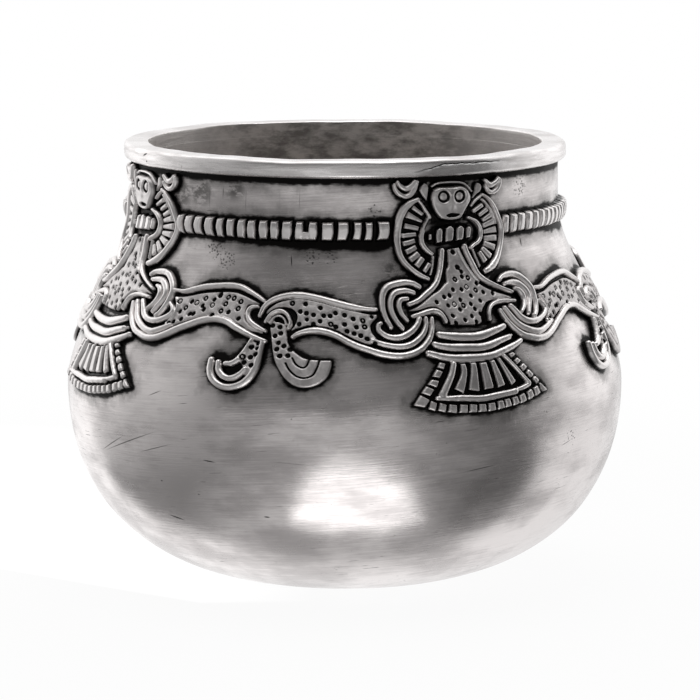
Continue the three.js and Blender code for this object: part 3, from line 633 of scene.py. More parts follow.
class Relief:
    """Cast ornament drawn flat on a fine grid of [run, drop]. It keeps the height above the wall, the
    tone (0 in a groove, 1 on a face), the shine (how far a face is rubbed bright) and the reach, how
    far a place is from the nearest edge. Shapes are laid at x and y, the run and drop shifted by small
    sines, so that no line is dead straight."""

    def __init__(self, low, high, side=1):
        self.side = side
        ends = np.sort([[low[0] * side, low[1]], [high[0] * side, high[1]]], axis=0)
        self.low = ends[0] - FAR
        runs, drops = (np.arange(self.low[i], ends[1][i] + FAR, GRAIN) for i in range(2))
        self.run, self.drop = np.meshgrid(runs, drops, indexing="ij")
        self.x = self.run + 0.05 * np.sin(0.9 * self.drop + 0.6 * self.run)
        self.y = self.drop + 0.05 * np.sin(0.8 * self.run - 0.5 * self.drop)
        self.height = np.full(self.run.shape, SUNK)
        self.tone = np.zeros(self.run.shape)
        self.reach = np.full(self.run.shape, FAR)
        self.shine = np.zeros(self.run.shape)

    def flat(self, points):
        return np.asarray(points, float) * [self.side, 1]

    def window(self, points, margin=FAR):
        """The part of the grid round some points."""
        first = np.floor((points.min(axis=0) - margin - self.low) / GRAIN).astype(int)
        last = np.ceil((points.max(axis=0) + margin - self.low) / GRAIN).astype(int)
        return np.s_[max(0, first[0]):max(0, last[0]), max(0, first[1]):max(0, last[1])]

    def lay(self, part, inset, top, edge=EDGE, dark=False, worn=0.2, shine=0.6):
        """Raises what lies inside an edge: the height climbs from the ground as a quarter sine over the
        edge's width, from a rounding outside the drawn line, to a top that is worn down towards the edge
        as a square. The highest of all laid is kept."""
        share = np.clip((inset + ROUNDING) / edge, 0, 1)
        top = top - worn * np.clip(1 - (inset + ROUNDING) / WORN_WIDTH, 0, 1) ** 2
        level = SUNK + (top - SUNK) * np.sin(share * np.pi / 2)
        over = (level > self.height[part]) & (share > 0)
        self.height[part] = np.where(over, level, self.height[part])
        self.tone[part] = np.where(over, 0 if dark else share, self.tone[part])
        self.shine[part] = np.where(over, shine, self.shine[part])
        self.reach[part] = np.minimum(self.reach[part], -inset)

    def strand(self, points, widths, top=STRAND_TOP, edge=EDGE, crown=0.32):
        """A cast cord along a smooth line, as wide along it as the widths say, crowned as a parabola."""
        line = smooth_line(self.flat(points))
        part = self.window(line)
        distance, share = to_line(self.x[part], self.y[part], line)
        half = np.interp(share, np.linspace(0, 1, len(widths)), widths) / 2 * FULLNESS
        rise = crown * np.clip(1 - (distance / half) ** 2, 0, 1)
        self.lay(part, half - distance, top - 0.1 + rise, np.minimum(edge, half * 0.9), worn=0, shine=1)

    def plate(self, sides, top=PLATE_TOP, edge=EDGE, dark=False, shine=0.1):
        """A flat plate inside an outline of smooth sides that meet in corners."""
        outline = np.vstack([smooth_line(self.flat(side)) for side in sides])
        keep = np.hypot(*(outline - np.roll(outline, 1, axis=0)).T) > 1e-6
        outline = outline[keep]
        part = self.window(outline)
        self.lay(part, inset_of(self.x[part], self.y[part], outline), top, edge, dark, shine=shine)

    def block(self, corners, top=1.15, edge=0.3, dark=False):
        """A plate whose corners are joined by straight sides."""
        self.plate([[a, b] for a, b in zip(corners, corners[1:] + corners[:1])], top, edge, dark, 0.7)

    def web(self, corners):
        """The low dark ground that joins the strands of one casting."""
        self.block(corners, WEB, 0.2, True)

    def bar(self, start, end, widths, top=STRAND_TOP, edge=0.26):
        """A short straight bar with square ends."""
        start, end = self.flat(start), self.flat(end)
        across = np.array([start[1] - end[1], end[0] - start[0]]) / np.hypot(*(end - start)) / 2
        outline = np.array([start - across * widths[0], end - across * widths[1],
                            end + across * widths[1], start + across * widths[0]])
        part = self.window(outline)
        self.lay(part, inset_of(self.x[part], self.y[part], outline), top, edge)

    def ray(self, points, widths, top=1.2, edge=0.36):
        """A tapered bar along a smooth line, with square ends: the line's left side and right side, as far
        apart as the widths say, close the outline."""
        line = smooth_line(self.flat(points))
        along = np.gradient(line, axis=0)
        along /= np.hypot(*along.T)[:, None]
        half = np.interp(np.linspace(0, 1, len(line)), np.linspace(0, 1, len(widths)), widths)[:, None] / 2
        across = np.stack([-along[:, 1], along[:, 0]], axis=-1) * half
        outline = np.vstack([line + across, (line - across)[::-1]])
        part = self.window(outline)
        self.lay(part, inset_of(self.x[part], self.y[part], outline), top, edge)

    def punch(self, places, radius=0.42, depth=0.5, dot=0.0):
        """Round punch marks: a pit, or a ring that leaves a dot of the given radius standing."""
        for place in self.flat(places):
            part = self.window(place[None], radius + 0.4)
            distance = np.hypot(self.x[part] - place[0], self.y[part] - place[1])
            pit = np.clip((radius + 0.1 - distance) / 0.16, 0, 1)
            if dot:
                pit = pit * np.clip((distance - dot + 0.05) / 0.1, 0, 1)
            self.height[part] -= depth * pit
            self.tone[part] *= 1 - pit

    def groove(self, points, width, depth=0.45):
        """A line cut into the relief."""
        line = smooth_line(self.flat(points))
        part = self.window(line, width + 0.4)
        distance, _ = to_line(self.x[part], self.y[part], line)
        cut = np.clip((width / 2 - distance) / 0.14 + 0.5, 0, 1)
        self.height[part] -= depth * cut
        self.tone[part] *= 1 - cut

    def faces(self):
        """Grid cells that stand above the ground, with cells that only touch at a corner joined up."""
        above = self.height > SUNK + 0.03
        cells = above[:-1, :-1] | above[1:, :-1] | above[:-1, 1:] | above[1:, 1:]
        for _ in range(3):
            a, b, c, d = cells[:-1, :-1], cells[1:, 1:], cells[1:, :-1], cells[:-1, 1:]
            fill = (a & b & ~c & ~d) | (c & d & ~a & ~b)
            cells[:-1, :-1] |= fill
            cells[1:, :-1] |= fill
        return cells

    def cast(self, name, wrap, node_name):
        """Wraps the drawing on the wall as a closed shell, in place of a node: the relief in front, a plain
        back inside the wall, and a side along every open edge."""
        cells = self.faces()
        i, j = np.nonzero(cells)
        across = self.run.shape[1]
        corners = [i * across + j, i * across + j + 1, (i + 1) * across + j + 1, (i + 1) * across + j]
        front = np.stack(corners, axis=-1)
        used, places = np.unique(front, return_inverse=True)
        front = places.reshape(-1, 4)
        count = len(used)
        padded = np.pad(cells, 1)
        open_sides = [(-1, 0, 0, 1), (0, 1, 1, 2), (1, 0, 2, 3), (0, -1, 3, 0)]
        sides = []
        for di, dj, a, b in open_sides:
            edge = front[~padded[i + 1 + di, j + 1 + dj]]
            sides.append(np.stack([edge[:, b], edge[:, a], edge[:, a] + count, edge[:, b] + count], axis=-1))
        run, drop = self.run.ravel()[used], self.drop.ravel()[used]
        turn, height = wrap.to_wall(run, drop)
        points = np.vstack([on_wall(turn, height, self.height.ravel()[used]), on_wall(turn, height, BACK)])
        tone = np.concatenate([self.tone.ravel()[used], np.zeros(count)])
        shine = np.concatenate([self.shine.ravel()[used], np.zeros(count)])
        piece = surface(name, points, front, front[:, ::-1] + count, *sides, tone=tone, shine=shine)
        piece.data.materials.append(CAST_SILVER)
        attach(piece, "root")
        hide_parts(node_name)
        laid_on_wall.append((self, wrap))

    def blacken(self, wider):
        """Carries the black round the edges out by some millimetres more at each place."""
        self.reach -= wider * np.clip(FAR - self.reach, 0, 1)

    def blacken_round(self, run, drop, wider, spread):
        """Carries it out most at one place and less round it, as a bell."""
        self.blacken(wider * np.exp(-((self.run - run) ** 2 + (self.drop - drop) ** 2) / spread))

    def reach_at(self, run, drop):
        """The reach at any places, between the four nearest grid points."""
        place = (np.stack([run, drop]) - self.low[:, None]) / GRAIN
        top = np.array(self.run.shape)[:, None] - 1.001
        inside = np.all((place >= 0) & (place <= top), axis=0)
        place = np.clip(place, 0, top)
        i, j = place.astype(int)
        p, q = place - [i, j]
        value = (self.reach[i, j] * (1 - p) * (1 - q) + self.reach[i + 1, j] * p * (1 - q)
                 + self.reach[i, j + 1] * (1 - p) * q + self.reach[i + 1, j + 1] * p * q)
        return np.where(inside, value, FAR)


class FigureWrap:
    """Takes a figure's flat drawing to the wall and back: run is measured along the wall at its height."""

    def __init__(self, figure):
        self.figure = figure

    def to_wall(self, run, drop):
        height = LIP - drop
        return self.figure + run / (wall_radius(height) * RUN_SCALE), height

    def to_flat(self, turn, height, behind=1.2):
        """A turn counts as behind the figure by at most so many radians, and past that as ahead of it."""
        round_turn = 2 * np.pi
        apart = (turn - self.figure + behind) % round_turn - behind
        return apart * wall_radius(height) * RUN_SCALE, LIP - height


CAST_DULL, CAST_SATIN, CAST_RUBBED = (0.52, 0.494, 0.49, 1), (0.78, 0.75, 0.742, 1), (0.93, 0.896, 0.886, 1)


def cast_silver():
    """Cast relief: satin on its plates, rubbed bright on its crests and black in its grooves."""
    material, tree, shader, place = metal("cast_silver")
    tone, shine = marked_by(tree, "tone"), marked_by(tree, "shine")
    finish = node(tree, "ShaderNodeGroup", {"Place": place}, node_tree=HAND_FINISH)
    mottle = noise(tree, place, 2.2, 5, 0.65)
    uneven = plus(tree, tone, times(tree, minus(tree, mottle, 0.5), 0.25))
    face = mixed(tree, between(tree, mottle, 0.35, 0.66), CAST_DULL, CAST_SATIN)
    face = mixed(tree, times(tree, shine, 0.8), face, CAST_RUBBED)
    colour = mixed(tree, between(tree, uneven, 0.3, 0.72), BLACK, face)
    chased = plus(tree, finish.outputs["Height"], times(tree, noise(tree, place, 1.1, 2), 4.0))
    dress(tree, shader, colour, between(tree, shine, 0, 1, 0.46, 0.28), chased, 0.15)
    return material


CAST_SILVER = cast_silver()
WRAPS = [FigureWrap(figure) for figure in FIGURES]
laid_on_wall = []


def cast_figures(name, relief):
    """Casts the same drawing for all four figures, each copy in place of its own node."""
    for number, wrap in enumerate(WRAPS, 1):
        relief.cast(f"{name}_cast_{number}", wrap, f"{name}_{number}")


EYES = [(-1.95, 3.75), (1.35, 3.78)]
PUPIL, EYE_RING = 0.78, 1.3

mask = Relief((-5, 0.8), (4.5, 8.2))
mask.plate([[(-4.4, 5.0), (-4.55, 4.1), (-4.4, 3.0), (-3.9, 2.25), (-3.0, 1.85), (-1.33, 1.75), (0.33, 1.8),
             (1.8, 1.8), (3.1, 2.45), (3.9, 3.6), (4.05, 4.5), (3.85, 5.2), (3.1, 6.3), (2.4, 7.4),
             (1.7, 8.2), (-0.2, 8.6), (-2.2, 8.25), (-3.0, 7.7), (-3.55, 7.0), (-4.1, 6.0), (-4.4, 5.0)]],
           FACE_TOP, 0.75, shine=0.5)
mask.strand([(-4.2, 1.75), (-3, 1.2), (-1.33, 1.05), (0.33, 1.1), (2, 1.35), (3.1, 1.95), (4.2, 3.1)],
            (0.25, 0.32, 0.32, 0.32, 0.25), 1.0)
mask.tone = np.where(mask.y > 7.9, mask.tone * np.clip(1 - (mask.y - 7.9) / 1.2, 0, 1), mask.tone)
mask.web([(-4.3, 1.7), (-3, 1.05), (0.3, 0.95), (2.2, 1.25), (4.3, 3.0), (3.9, 4.4), (2.2, 8.2), (0, 8.7),
          (-3.7, 8.5), (-4.3, 4.0)])
for eye_run, eye_drop in EYES:
    out = np.hypot(mask.x - eye_run, mask.y - eye_drop)
    mask.height += 0.14 * np.exp(-((out - 1.55) / 0.4) ** 2) * (mask.tone > 0.3)
    ring_cut = np.clip((EYE_RING - out) / 0.16, 0, 1)
    pupil = np.sqrt(np.clip(1 - (out / PUPIL) ** 2, 0, 1))
    mask.height -= ring_cut * (0.34 - 0.4 * pupil)
    mask.tone = np.where(ring_cut > 0, np.clip(pupil * 1.6, 0, 1) + (1 - ring_cut) * mask.tone, mask.tone)
nose = np.exp(-((mask.x + 0.35) / 0.7) ** 2) * np.clip((mask.y - 3.6) / 1.5, 0, 1)
nose *= np.clip(6.8 - mask.y, 0, 1)
mask.height += 0.3 * nose
mouth = inset_of(mask.x, mask.y,
                 smooth_line([(-1.6, 7.4), (-0.8, 7.08), (0.4, 7.04), (1.7, 7.25), (0.9, 7.7), (-0.2, 7.86),
                              (-1.0, 7.75), (-1.6, 7.4)])[:-1])
cut = np.clip(mouth / 0.12 + 0.4, 0, 1)
mask.height -= 0.7 * cut
mask.tone *= 1 - cut
cast_figures("mask", mask)

# Ear drops and crescents: small castings on both sides of each mask, close under the rim band.
# A crescent is two strands that meet at its tips, with a dark line between them.
drop_left = Relief((-6.6, 1), (-5, 4.6))
drop_left.plate([[(-5.68, 1.15), (-6.35, 1.7), (-6.65, 2.4), (-6.25, 3.2), (-5.2, 4.45)],
                 [(-5.2, 4.45), (-5.02, 2.4), (-5.2, 1.5), (-5.68, 1.15)]], 1.15)
cast_figures("drop_left", drop_left)

drop_right = Relief((4.5, 1.4), (6.2, 4.6))
drop_right.plate([[(5.7, 1.55), (6.28, 1.9), (6.45, 2.6), (6.05, 3.3), (5.45, 3.65), (4.6, 4.45)],
                  [(4.6, 4.45), (5.1, 3.2), (5.22, 2.3), (5.4, 1.75), (5.7, 1.55)]], 1.1)
cast_figures("drop_right", drop_right)

CRESCENT_OUTER, CRESCENT_INNER = (0.5, 0.78, 0.86, 0.8, 0.6), (0.52, 0.82, 0.96, 0.82, 0.52)
crescent_left = Relief((-12, 0.3), (-6.9, 4))
crescent_left.web([(-11.5, 1.2), (-10.9, 0.7), (-9.4, 2.0), (-7.8, 0.7), (-7.1, 1.2), (-8.5, 3.1),
                   (-9.9, 3.5)])
crescent_left.strand([(-11.6, 1.15), (-11.3, 2.1), (-10.6, 2.95), (-9.6, 3.42), (-8.6, 3.15), (-7.8, 2.25),
                      (-7.15, 0.75)], CRESCENT_OUTER)
crescent_left.strand([(-10.95, 0.65), (-10.4, 1.4), (-9.4, 1.92), (-8.5, 1.55), (-7.55, 0.6)],
                     CRESCENT_INNER)
cast_figures("crescent_left", crescent_left)

crescent_right = Relief((7, 0.8), (11.3, 4))
crescent_right.web([(7.2, 1.5), (7.5, 1.2), (8.9, 2.2), (10.3, 1.1), (10.9, 1.4), (10.3, 3.1), (8.5, 3.4)])
crescent_right.strand([(7.4, 2.3), (8.0, 3.05), (8.7, 3.45), (9.5, 3.48), (10.35, 3.0), (10.9, 2.15),
                       (10.98, 1.3)], CRESCENT_OUTER)
crescent_right.strand([(7.3, 1.1), (8.0, 1.75), (8.75, 2.12), (9.7, 1.85), (10.3, 1.4), (10.65, 1.0)],
                      CRESCENT_INNER)
cast_figures("crescent_right", crescent_right)

# Wings: a broad outer strand and a thinner inner one, with rungs between them on black ground.
# They spring from beside the mask and close round the throat on both sides.
RUNG_TOP = 1.1

wing_left = Relief((-11.9, 3.5), (-4.3, 19.7))
wing_left.web([(-7.2, 4.0), (-9.4, 5.4), (-10.5, 7.1), (-11.0, 9.1), (-11.3, 12.7), (-11.2, 14.7),
               (-10.3, 16.6), (-9.0, 18.1), (-6.8, 19.2), (-6.0, 18.6), (-5.0, 17.0), (-4.6, 15.2),
               (-6.3, 13.2), (-6.4, 10.7), (-5.6, 8.4), (-4.8, 7.5), (-5.7, 5.9)])
wing_left.strand([(-7.1, 4.05), (-8.4, 4.7), (-9.5, 5.7), (-10.1, 6.7), (-10.6, 8), (-10.9, 9.7),
                  (-11.1, 11.3), (-11.2, 12.8), (-10.95, 14.7), (-10.3, 16.3), (-9.2, 17.7), (-7.9, 18.7),
                  (-6.5, 19.35)], (0.75, 1.05, 1.3, 1.34, 1.25, 1.2, 1.12, 0.98, 0.9, 0.88, 0.86, 0.8, 0.6))
wing_left.strand([(-7.08, 4.15), (-6.33, 4.9), (-5.67, 5.9), (-5.08, 6.9), (-4.75, 7.57)], (0.35, 0.5, 0.6))
wing_left.strand([(-4.95, 7.6), (-5.5, 8.5), (-6.0, 9.5), (-6.15, 10.4), (-6.4, 11.3), (-6.4, 12.5),
                  (-6.1, 13.4), (-5.4, 14.4), (-4.85, 14.85)],
                 (0.25, 0.25, 0.4, 0.75, 0.85, 0.85, 0.85, 0.8, 0.6))
wing_left.strand([(-4.5, 15.4), (-5, 17.07), (-5.67, 18.4)], (0.3, 0.3), 0.7)
for rung_start, rung_end, widths in [
        ((-7.9, 5.6), (-6.0, 7.0), (0.75, 0.6)), ((-9.0, 7.0), (-6.2, 8.35), (1.2, 0.45)),
        ((-9.5, 9.1), (-6.9, 9.75), (0.9, 0.8)), ((-10.1, 11.0), (-7.4, 10.9), (0.85, 0.7)),
        ((-10.1, 12.6), (-7.7, 12.1), (0.85, 0.8)), ((-9.7, 14.2), (-7.6, 13.3), (0.9, 0.85)),
        ((-9.2, 15.7), (-7.3, 14.5), (0.95, 0.9)), ((-8.2, 16.9), (-6.7, 15.4), (0.95, 0.9)),
        ((-6.9, 17.9), (-5.6, 16.5), (0.75, 0.7))]:
    wing_left.bar(rung_start, rung_end, widths, RUNG_TOP)
cast_figures("wing_left", wing_left)

wing_right = Relief((3.2, 3.3), (12, 19))
wing_right.web([(6.6, 3.9), (8.7, 5.2), (9.7, 6.6), (10.7, 8.2), (11.5, 11.0), (11.2, 12.8), (10.6, 14.4),
                (9.6, 16.1), (8.3, 17.3), (6.0, 18.6), (5.0, 17.5), (4.4, 15.9), (3.9, 14.4), (5.4, 13.0),
                (6.3, 11.0), (5.3, 9.1), (4.0, 8.0), (4.2, 6.4)])
wing_right.strand([(6.75, 3.82), (7.67, 4.32), (8.67, 5.23), (9.67, 6.57), (10.67, 8.23), (11.33, 9.73),
                   (11.5, 11.07), (11.25, 12.73), (10.67, 14.4), (9.67, 16.07), (8.33, 17.4), (7, 18.23),
                   (6.17, 18.57)], (0.36, 0.6, 0.8, 0.8, 0.78, 0.85, 1.05, 1.25, 0.9))
wing_right.strand([(7.0, 4.9), (8.0, 6.0), (9.0, 7.2), (9.9, 8.7), (10.25, 9.6)],
                  (0.3, 0.36, 0.36, 0.2), 1.0)
wing_right.strand([(6.33, 4.23), (5.33, 4.9), (4.33, 5.82)], (0.5, 0.4), 0.9)
wing_right.strand([(3.42, 7.98), (4.33, 8.4), (5.33, 9.07), (6.08, 10.07), (6.33, 11.07), (6.08, 12.23),
                   (5.33, 13.07), (4.33, 13.57), (3.67, 14.07)], (0.45, 0.7, 0.76, 0.76, 0.72, 0.7))
wing_right.strand([(4.17, 14.4), (4.58, 16.07), (5.08, 17.57)], (0.32, 0.3), 0.7)
for rung_start, rung_end, widths in [
        ((4.7, 7.1), (6.9, 5.9), (0.55, 0.7)), ((6.1, 7.9), (8.0, 6.8), (0.6, 0.75)),
        ((7.0, 8.9), (9.1, 7.9), (0.65, 0.9)), ((7.2, 10.0), (9.8, 9.2), (0.8, 1.15)),
        ((7.3, 11.2), (10.2, 10.9), (0.65, 1.3)), ((7.3, 12.4), (10.1, 12.6), (0.75, 1.25)),
        ((7.0, 13.3), (9.4, 14.4), (0.8, 1.1)), ((6.3, 14.2), (8.1, 15.9), (0.75, 1.0)),
        ((5.5, 14.9), (6.6, 16.8), (0.7, 0.95))]:
    wing_right.bar(rung_start, rung_end, widths, RUNG_TOP)
cast_figures("wing_right", wing_right)

# Throat: upright beads between the wings, where the rope moulding seems to pass behind the figure. They
# lean a little and taper to the foot, and the outer two are half hidden.
def throat_bead(run, drop, wide, tall, lean):
    """A bead's outline round its middle: a foot that slants, and two sides that meet in a low point."""
    foot = [(run + wide * 0.35, drop + tall * 0.46), (run - wide * 0.55, drop + tall / 2)]
    shoulder = (run - wide / 2 + lean, drop - tall * 0.36)
    right = [shoulder, (run + lean, drop - tall / 2), (run + wide / 2 + lean * 0.5, drop - tall * 0.3),
             (run + wide * 0.52, drop + tall * 0.1), foot[0]]
    return [right, foot, [foot[1], (run - wide * 0.5, drop + tall * 0.1), shoulder]]


throat = Relief((-5.2, 9.4), (4.2, 12.8))
throat.web([(-4.9, 10.8), (-2.9, 9.6), (0.4, 9.3), (3.4, 9.5), (4.0, 10.6), (3.6, 12.2), (0.8, 12.6),
            (-3.2, 12.8), (-4.9, 12.3)])
for bead in [(-4.65, 11.5, 0.6, 1.3, 0.05), (-2.85, 11.2, 1.25, 3.1, 0.25), (-0.75, 11.0, 1.65, 3.2, 0.3),
             (1.5, 11.0, 1.5, 3.1, 0.25), (3.4, 10.9, 0.9, 2.5, 0.15)]:
    throat.plate(throat_bead(*bead), 1.35, 0.42, shine=1)
cast_figures("throat", throat)

# Torso: a plate with punched dots that narrows to the throat and reaches out into both knots.
# A strand runs beside each of its four edges, and some of the dots are rings with a standing middle.
torso = Relief((-12, 13.4), (11.8, 28))
torso.web([(-2.9, 14.0), (-3.4, 17), (-4.8, 19.7), (-7.7, 22.1), (-11.4, 23.6), (-11.6, 26.0), (-7.6, 25.6),
           (-5.8, 26.4), (-5.2, 27.4), (4.6, 27.5), (5.2, 25.6), (6.3, 24.8), (11.3, 24.6), (11.3, 22.7),
           (8.6, 21.9), (5.2, 20.1), (3.15, 16.9), (2.4, 13.8)])
torso.plate([[(-1.33, 14.07), (-1.5, 15.4), (-1.75, 17.1), (-2.5, 18.2), (-2.9, 20.0), (-3.5, 20.4),
              (-4.6, 21.26), (-6.57, 22.35), (-8.3, 23.4), (-10.04, 24.3), (-11.57, 24.85)],
             [(-11.57, 24.85), (-9.83, 24.74), (-7.87, 24.35), (-6.57, 24.35), (-5.48, 24.74), (-4.6, 25.6),
              (-4.17, 26.7), (-4.07, 27.57)],
             [(-4.07, 27.57), (-3.5, 27.7), (1.7, 27.8), (2.57, 27.57)],
             [(2.57, 27.57), (2.67, 26.7), (3.2, 25.6), (3.87, 24.74), (4.96, 23.87), (6.9, 23.76),
              (9.1, 23.7), (11.04, 23.76)],
             [(11.04, 23.76), (9.1, 23.1), (7.57, 22.67), (5.83, 21.9), (4.74, 21.26), (3.65, 20.4),
              (2.78, 19.3), (1.67, 17.4), (1.0, 15.4), (0.58, 13.9)]], PLATE_TOP, 0.3)
torso.strand([(-2.7, 14.2), (-3.1, 16), (-3.8, 18), (-4.8, 19.7), (-6.1, 21), (-7.7, 22.1), (-9.4, 23.1),
              (-11.5, 23.8)], (0.85, 0.9, 0.9, 0.8, 0.6))
torso.strand([(2.25, 13.7), (2.5, 14.9), (3.15, 16.9), (4.0, 18.9), (5.2, 20.1), (6.8, 21.1), (8.6, 21.9),
              (11.2, 22.8)], (0.85, 0.9, 0.8, 0.6, 0.45))
torso.strand([(-11.4, 26), (-9.8, 25.6), (-7.6, 25.2), (-6.2, 25.4), (-5.4, 26.1), (-5, 27.2)],
             (0.5, 0.8, 0.85, 0.6))
torso.strand([(4.4, 27.3), (4.6, 26), (5.2, 25), (6.3, 24.45), (8.2, 24.25), (11.2, 24.45)],
             (0.5, 0.7, 0.7, 0.5))
torso.strand([(0.75, 14.1), (1.25, 15.6), (1.9, 17.4), (3.0, 19.2), (3.9, 20.3)], (0.35, 0.3, 0.25), 1.1)
torso.punch([(-0.33, 14.57), (0, 17.48)], 0.52)
torso.punch([(0.58, 18.3), (0.5, 19.25), (-2, 21.5), (-0.15, 21.6), (3.43, 20.6), (4.4, 22.24),
             (6.48, 22.67), (1.6, 22.8), (3.3, 23.76), (-4.17, 22.67), (-2.98, 22.46), (-0.87, 23.4),
             (-5.9, 23.6), (-3.7, 24.26), (1.1, 24.3), (-1.46, 25.07), (1.7, 25.2), (-3.26, 26.15),
             (0.7, 26.4), (2.67, 26.15), (-0.96, 26.96), (-2.98, 27.46), (1.48, 27.46)])
torso.punch([(-1.1, 19.7), (1.75, 19.5), (2.9, 21.8), (-0.52, 24.4)], 0.5, 0.5, 0.16)
torso.punch([(1, 21.2), (-2.4, 24.1)], 0.5, 0.25, 0.3)
cast_figures("torso", torso)

# Skirt: three bowed bands over a fan of rays, in a frame with a border of square beads. The rays widen
# to the hem, and the hem's beads follow its bow.
skirt = Relief((-14.5, 28.2), (15.5, 43.8))
skirt.web([(-6.9, 29.0), (-3.5, 29.7), (0, 29.8), (3.4, 29.4), (7.0, 28.5), (7.6, 29.6), (8.2, 31.0),
           (10.2, 31.8), (8.3, 33.4), (15.2, 40.7), (12.4, 41.6), (8.7, 42.7), (5.3, 43.2), (1.5, 43.5),
           (-2.3, 43.6), (-6.5, 43.4), (-10.8, 42.6), (-14.2, 41.6), (-7.8, 34.2), (-10.2, 33.0),
           (-8.7, 31.4), (-7.3, 30.2)])
skirt.strand([(-7.0, 29.35), (-4, 29.87), (-1, 30.05), (2, 29.87), (5, 29.3), (7.0, 28.7)],
             (1.0, 1.2, 1.28, 1.28, 1.16, 1.0))
skirt.strand([(-8.3, 31.1), (-7.2, 31.4), (-4, 31.8), (0, 32.02), (3, 31.75), (6, 31.1), (7.8, 30.65)],
             (0.95, 1.1, 1.2, 1.22, 1.18, 1.08, 0.9))
skirt.bar((8.15, 30.45), (8.85, 30.25), (0.4, 0.35), 1.0)
skirt.strand([(-9.9, 32.6), (-7, 33.38), (-3, 33.75), (0, 33.85), (3, 33.6), (6, 33.0), (8, 32.4),
              (10.3, 31.5)], (0.9, 1.15, 1.2, 1.2, 1.16, 1.1, 1.0, 0.75))
skirt.strand([(-5.3, 34.7), (-6.1, 36.5), (-7.2, 38.2), (-8.5, 40.1)], (0.9, 1.12, 1.35))
skirt.strand([(5.7, 34.0), (7.9, 36.4), (10.4, 39.2)], (0.5, 0.55, 0.6))
skirt.strand([(-9.6, 40.55), (-7.5, 40.65), (-5, 40.8), (-2, 41), (0, 41), (3, 40.8), (5, 40.6), (7, 40.3)],
             (0.65, 0.95, 1.05, 1.05, 1.0))
skirt.strand([(7.45, 40.0), (8.7, 39.85), (10.35, 39.45)], (0.6, 0.8, 0.75), 1.15)
for ray, widths in [
        ([(-3.45, 34.7), (-3.5, 36.2), (-4.1, 37.8), (-5.0, 39.6)], (0.95, 1.3, 1.95)),
        ([(-1.3, 34.7), (-1.4, 36.5), (-1.95, 39.6)], (1.05, 1.4, 2.05)),
        ([(0.8, 34.8), (1.0, 37.0), (1.15, 39.5)], (1.4, 1.6, 1.9)),
        ([(2.9, 34.5), (3.4, 36.7), (4.0, 39.3)], (0.85, 1.2, 1.65)),
        ([(4.4, 34.2), (5.5, 36.5), (6.9, 38.9)], (0.55, 0.9, 1.25))]:
    skirt.ray(ray, widths)
for bead in [[(-8.0, 34.3), (-6.9, 34.6), (-7.4, 35.55), (-8.5, 35.1)],
             [(-8.8, 35.5), (-7.7, 36.0), (-8.55, 37.0), (-9.75, 36.6)],
             [(-10.1, 37.2), (-8.8, 37.5), (-9.4, 38.6), (-10.95, 38.0)],
             [(-11.3, 38.4), (-10.0, 39.0), (-10.9, 40.15), (-12.4, 39.6)],
             [(7.0, 33.7), (7.9, 33.45), (8.35, 33.9), (7.5, 34.35)],
             [(8.05, 34.9), (8.6, 34.5), (9.4, 35.1), (8.5, 35.65)],
             [(9.1, 36.1), (9.8, 35.6), (10.65, 36.3), (9.7, 37.0)],
             [(10.4, 37.3), (10.95, 36.8), (11.85, 37.8), (11.1, 38.35)],
             [(11.6, 38.6), (12.2, 38.1), (13.0, 38.9), (12.4, 39.5)]]:
    skirt.block(bead)
skirt.plate([[(-12.7, 40.0), (-11.1, 40.9)], [(-11.1, 40.9), (-12.05, 42.1)],
             [(-12.05, 42.1), (-14.1, 41.6)], [(-14.1, 41.6), (-12.7, 40.0)]], 1.15, 0.3)
skirt.plate([[(13.3, 39.4), (14.3, 40.2), (15.05, 40.75)], [(15.05, 40.75), (14, 41)],
             [(14, 41), (13.35, 40.5)], [(13.35, 40.5), (13.3, 39.4)]], 1.15, 0.3)
bead_runs = np.array([-10.2, -8.35, -6.4, -4.3, -2.35, -0.4, 1.55, 3.45, 5.0, 6.7, 8.4, 10.3, 11.95])
for bead_run, pitch in zip(bead_runs, np.gradient(bead_runs)):
    bead_drop = 42.1 - 0.0113 * (bead_run + 1.5) ** 2
    bead_foot = (bead_run + 0.05 * (bead_run + 1), bead_drop + 1.4)
    skirt.bar((bead_run, bead_drop), bead_foot, (pitch - 0.65, pitch - 0.45), 1.1, 0.32)
cast_figures("skirt", skirt)

# Garlands: half a garland leaves each side of a figure as a knot of two hooked loops, runs out as a
# ribbon punched with dots, and ends at the crossing in an arch and a hanging hook.
KNOT_REACH = 18
HALF = DRAWN_QUARTER / 2


class GarlandWrap:
    """Takes half a garland to the wall and back: up to the knot it is a figure's own drawing, and past
    it the run is stretched so that the half quarter ends at the crossing."""

    def __init__(self, figure, crossing, side):
        self.wrap, self.crossing, self.side = FigureWrap(figure), crossing, side

    def knot_turn(self, height):
        return self.wrap.figure + self.side * KNOT_REACH / (wall_radius(height) * RUN_SCALE)

    def to_wall(self, run, drop):
        turn, height = self.wrap.to_wall(run, drop)
        knot = self.knot_turn(height)
        share = (self.side * run - KNOT_REACH) / (HALF - KNOT_REACH)
        return np.where(share < 0, turn, knot + (self.crossing - knot) * share), height

    def to_flat(self, turn, height):
        run, drop = self.wrap.to_flat(turn, height, np.pi)
        knot = self.knot_turn(height)
        apart = run / (wall_radius(height) * RUN_SCALE) + self.wrap.figure
        share = (apart - knot) / (self.crossing - knot)
        return np.where(share < 0, run, self.side * (KNOT_REACH + share * (HALF - KNOT_REACH))), drop


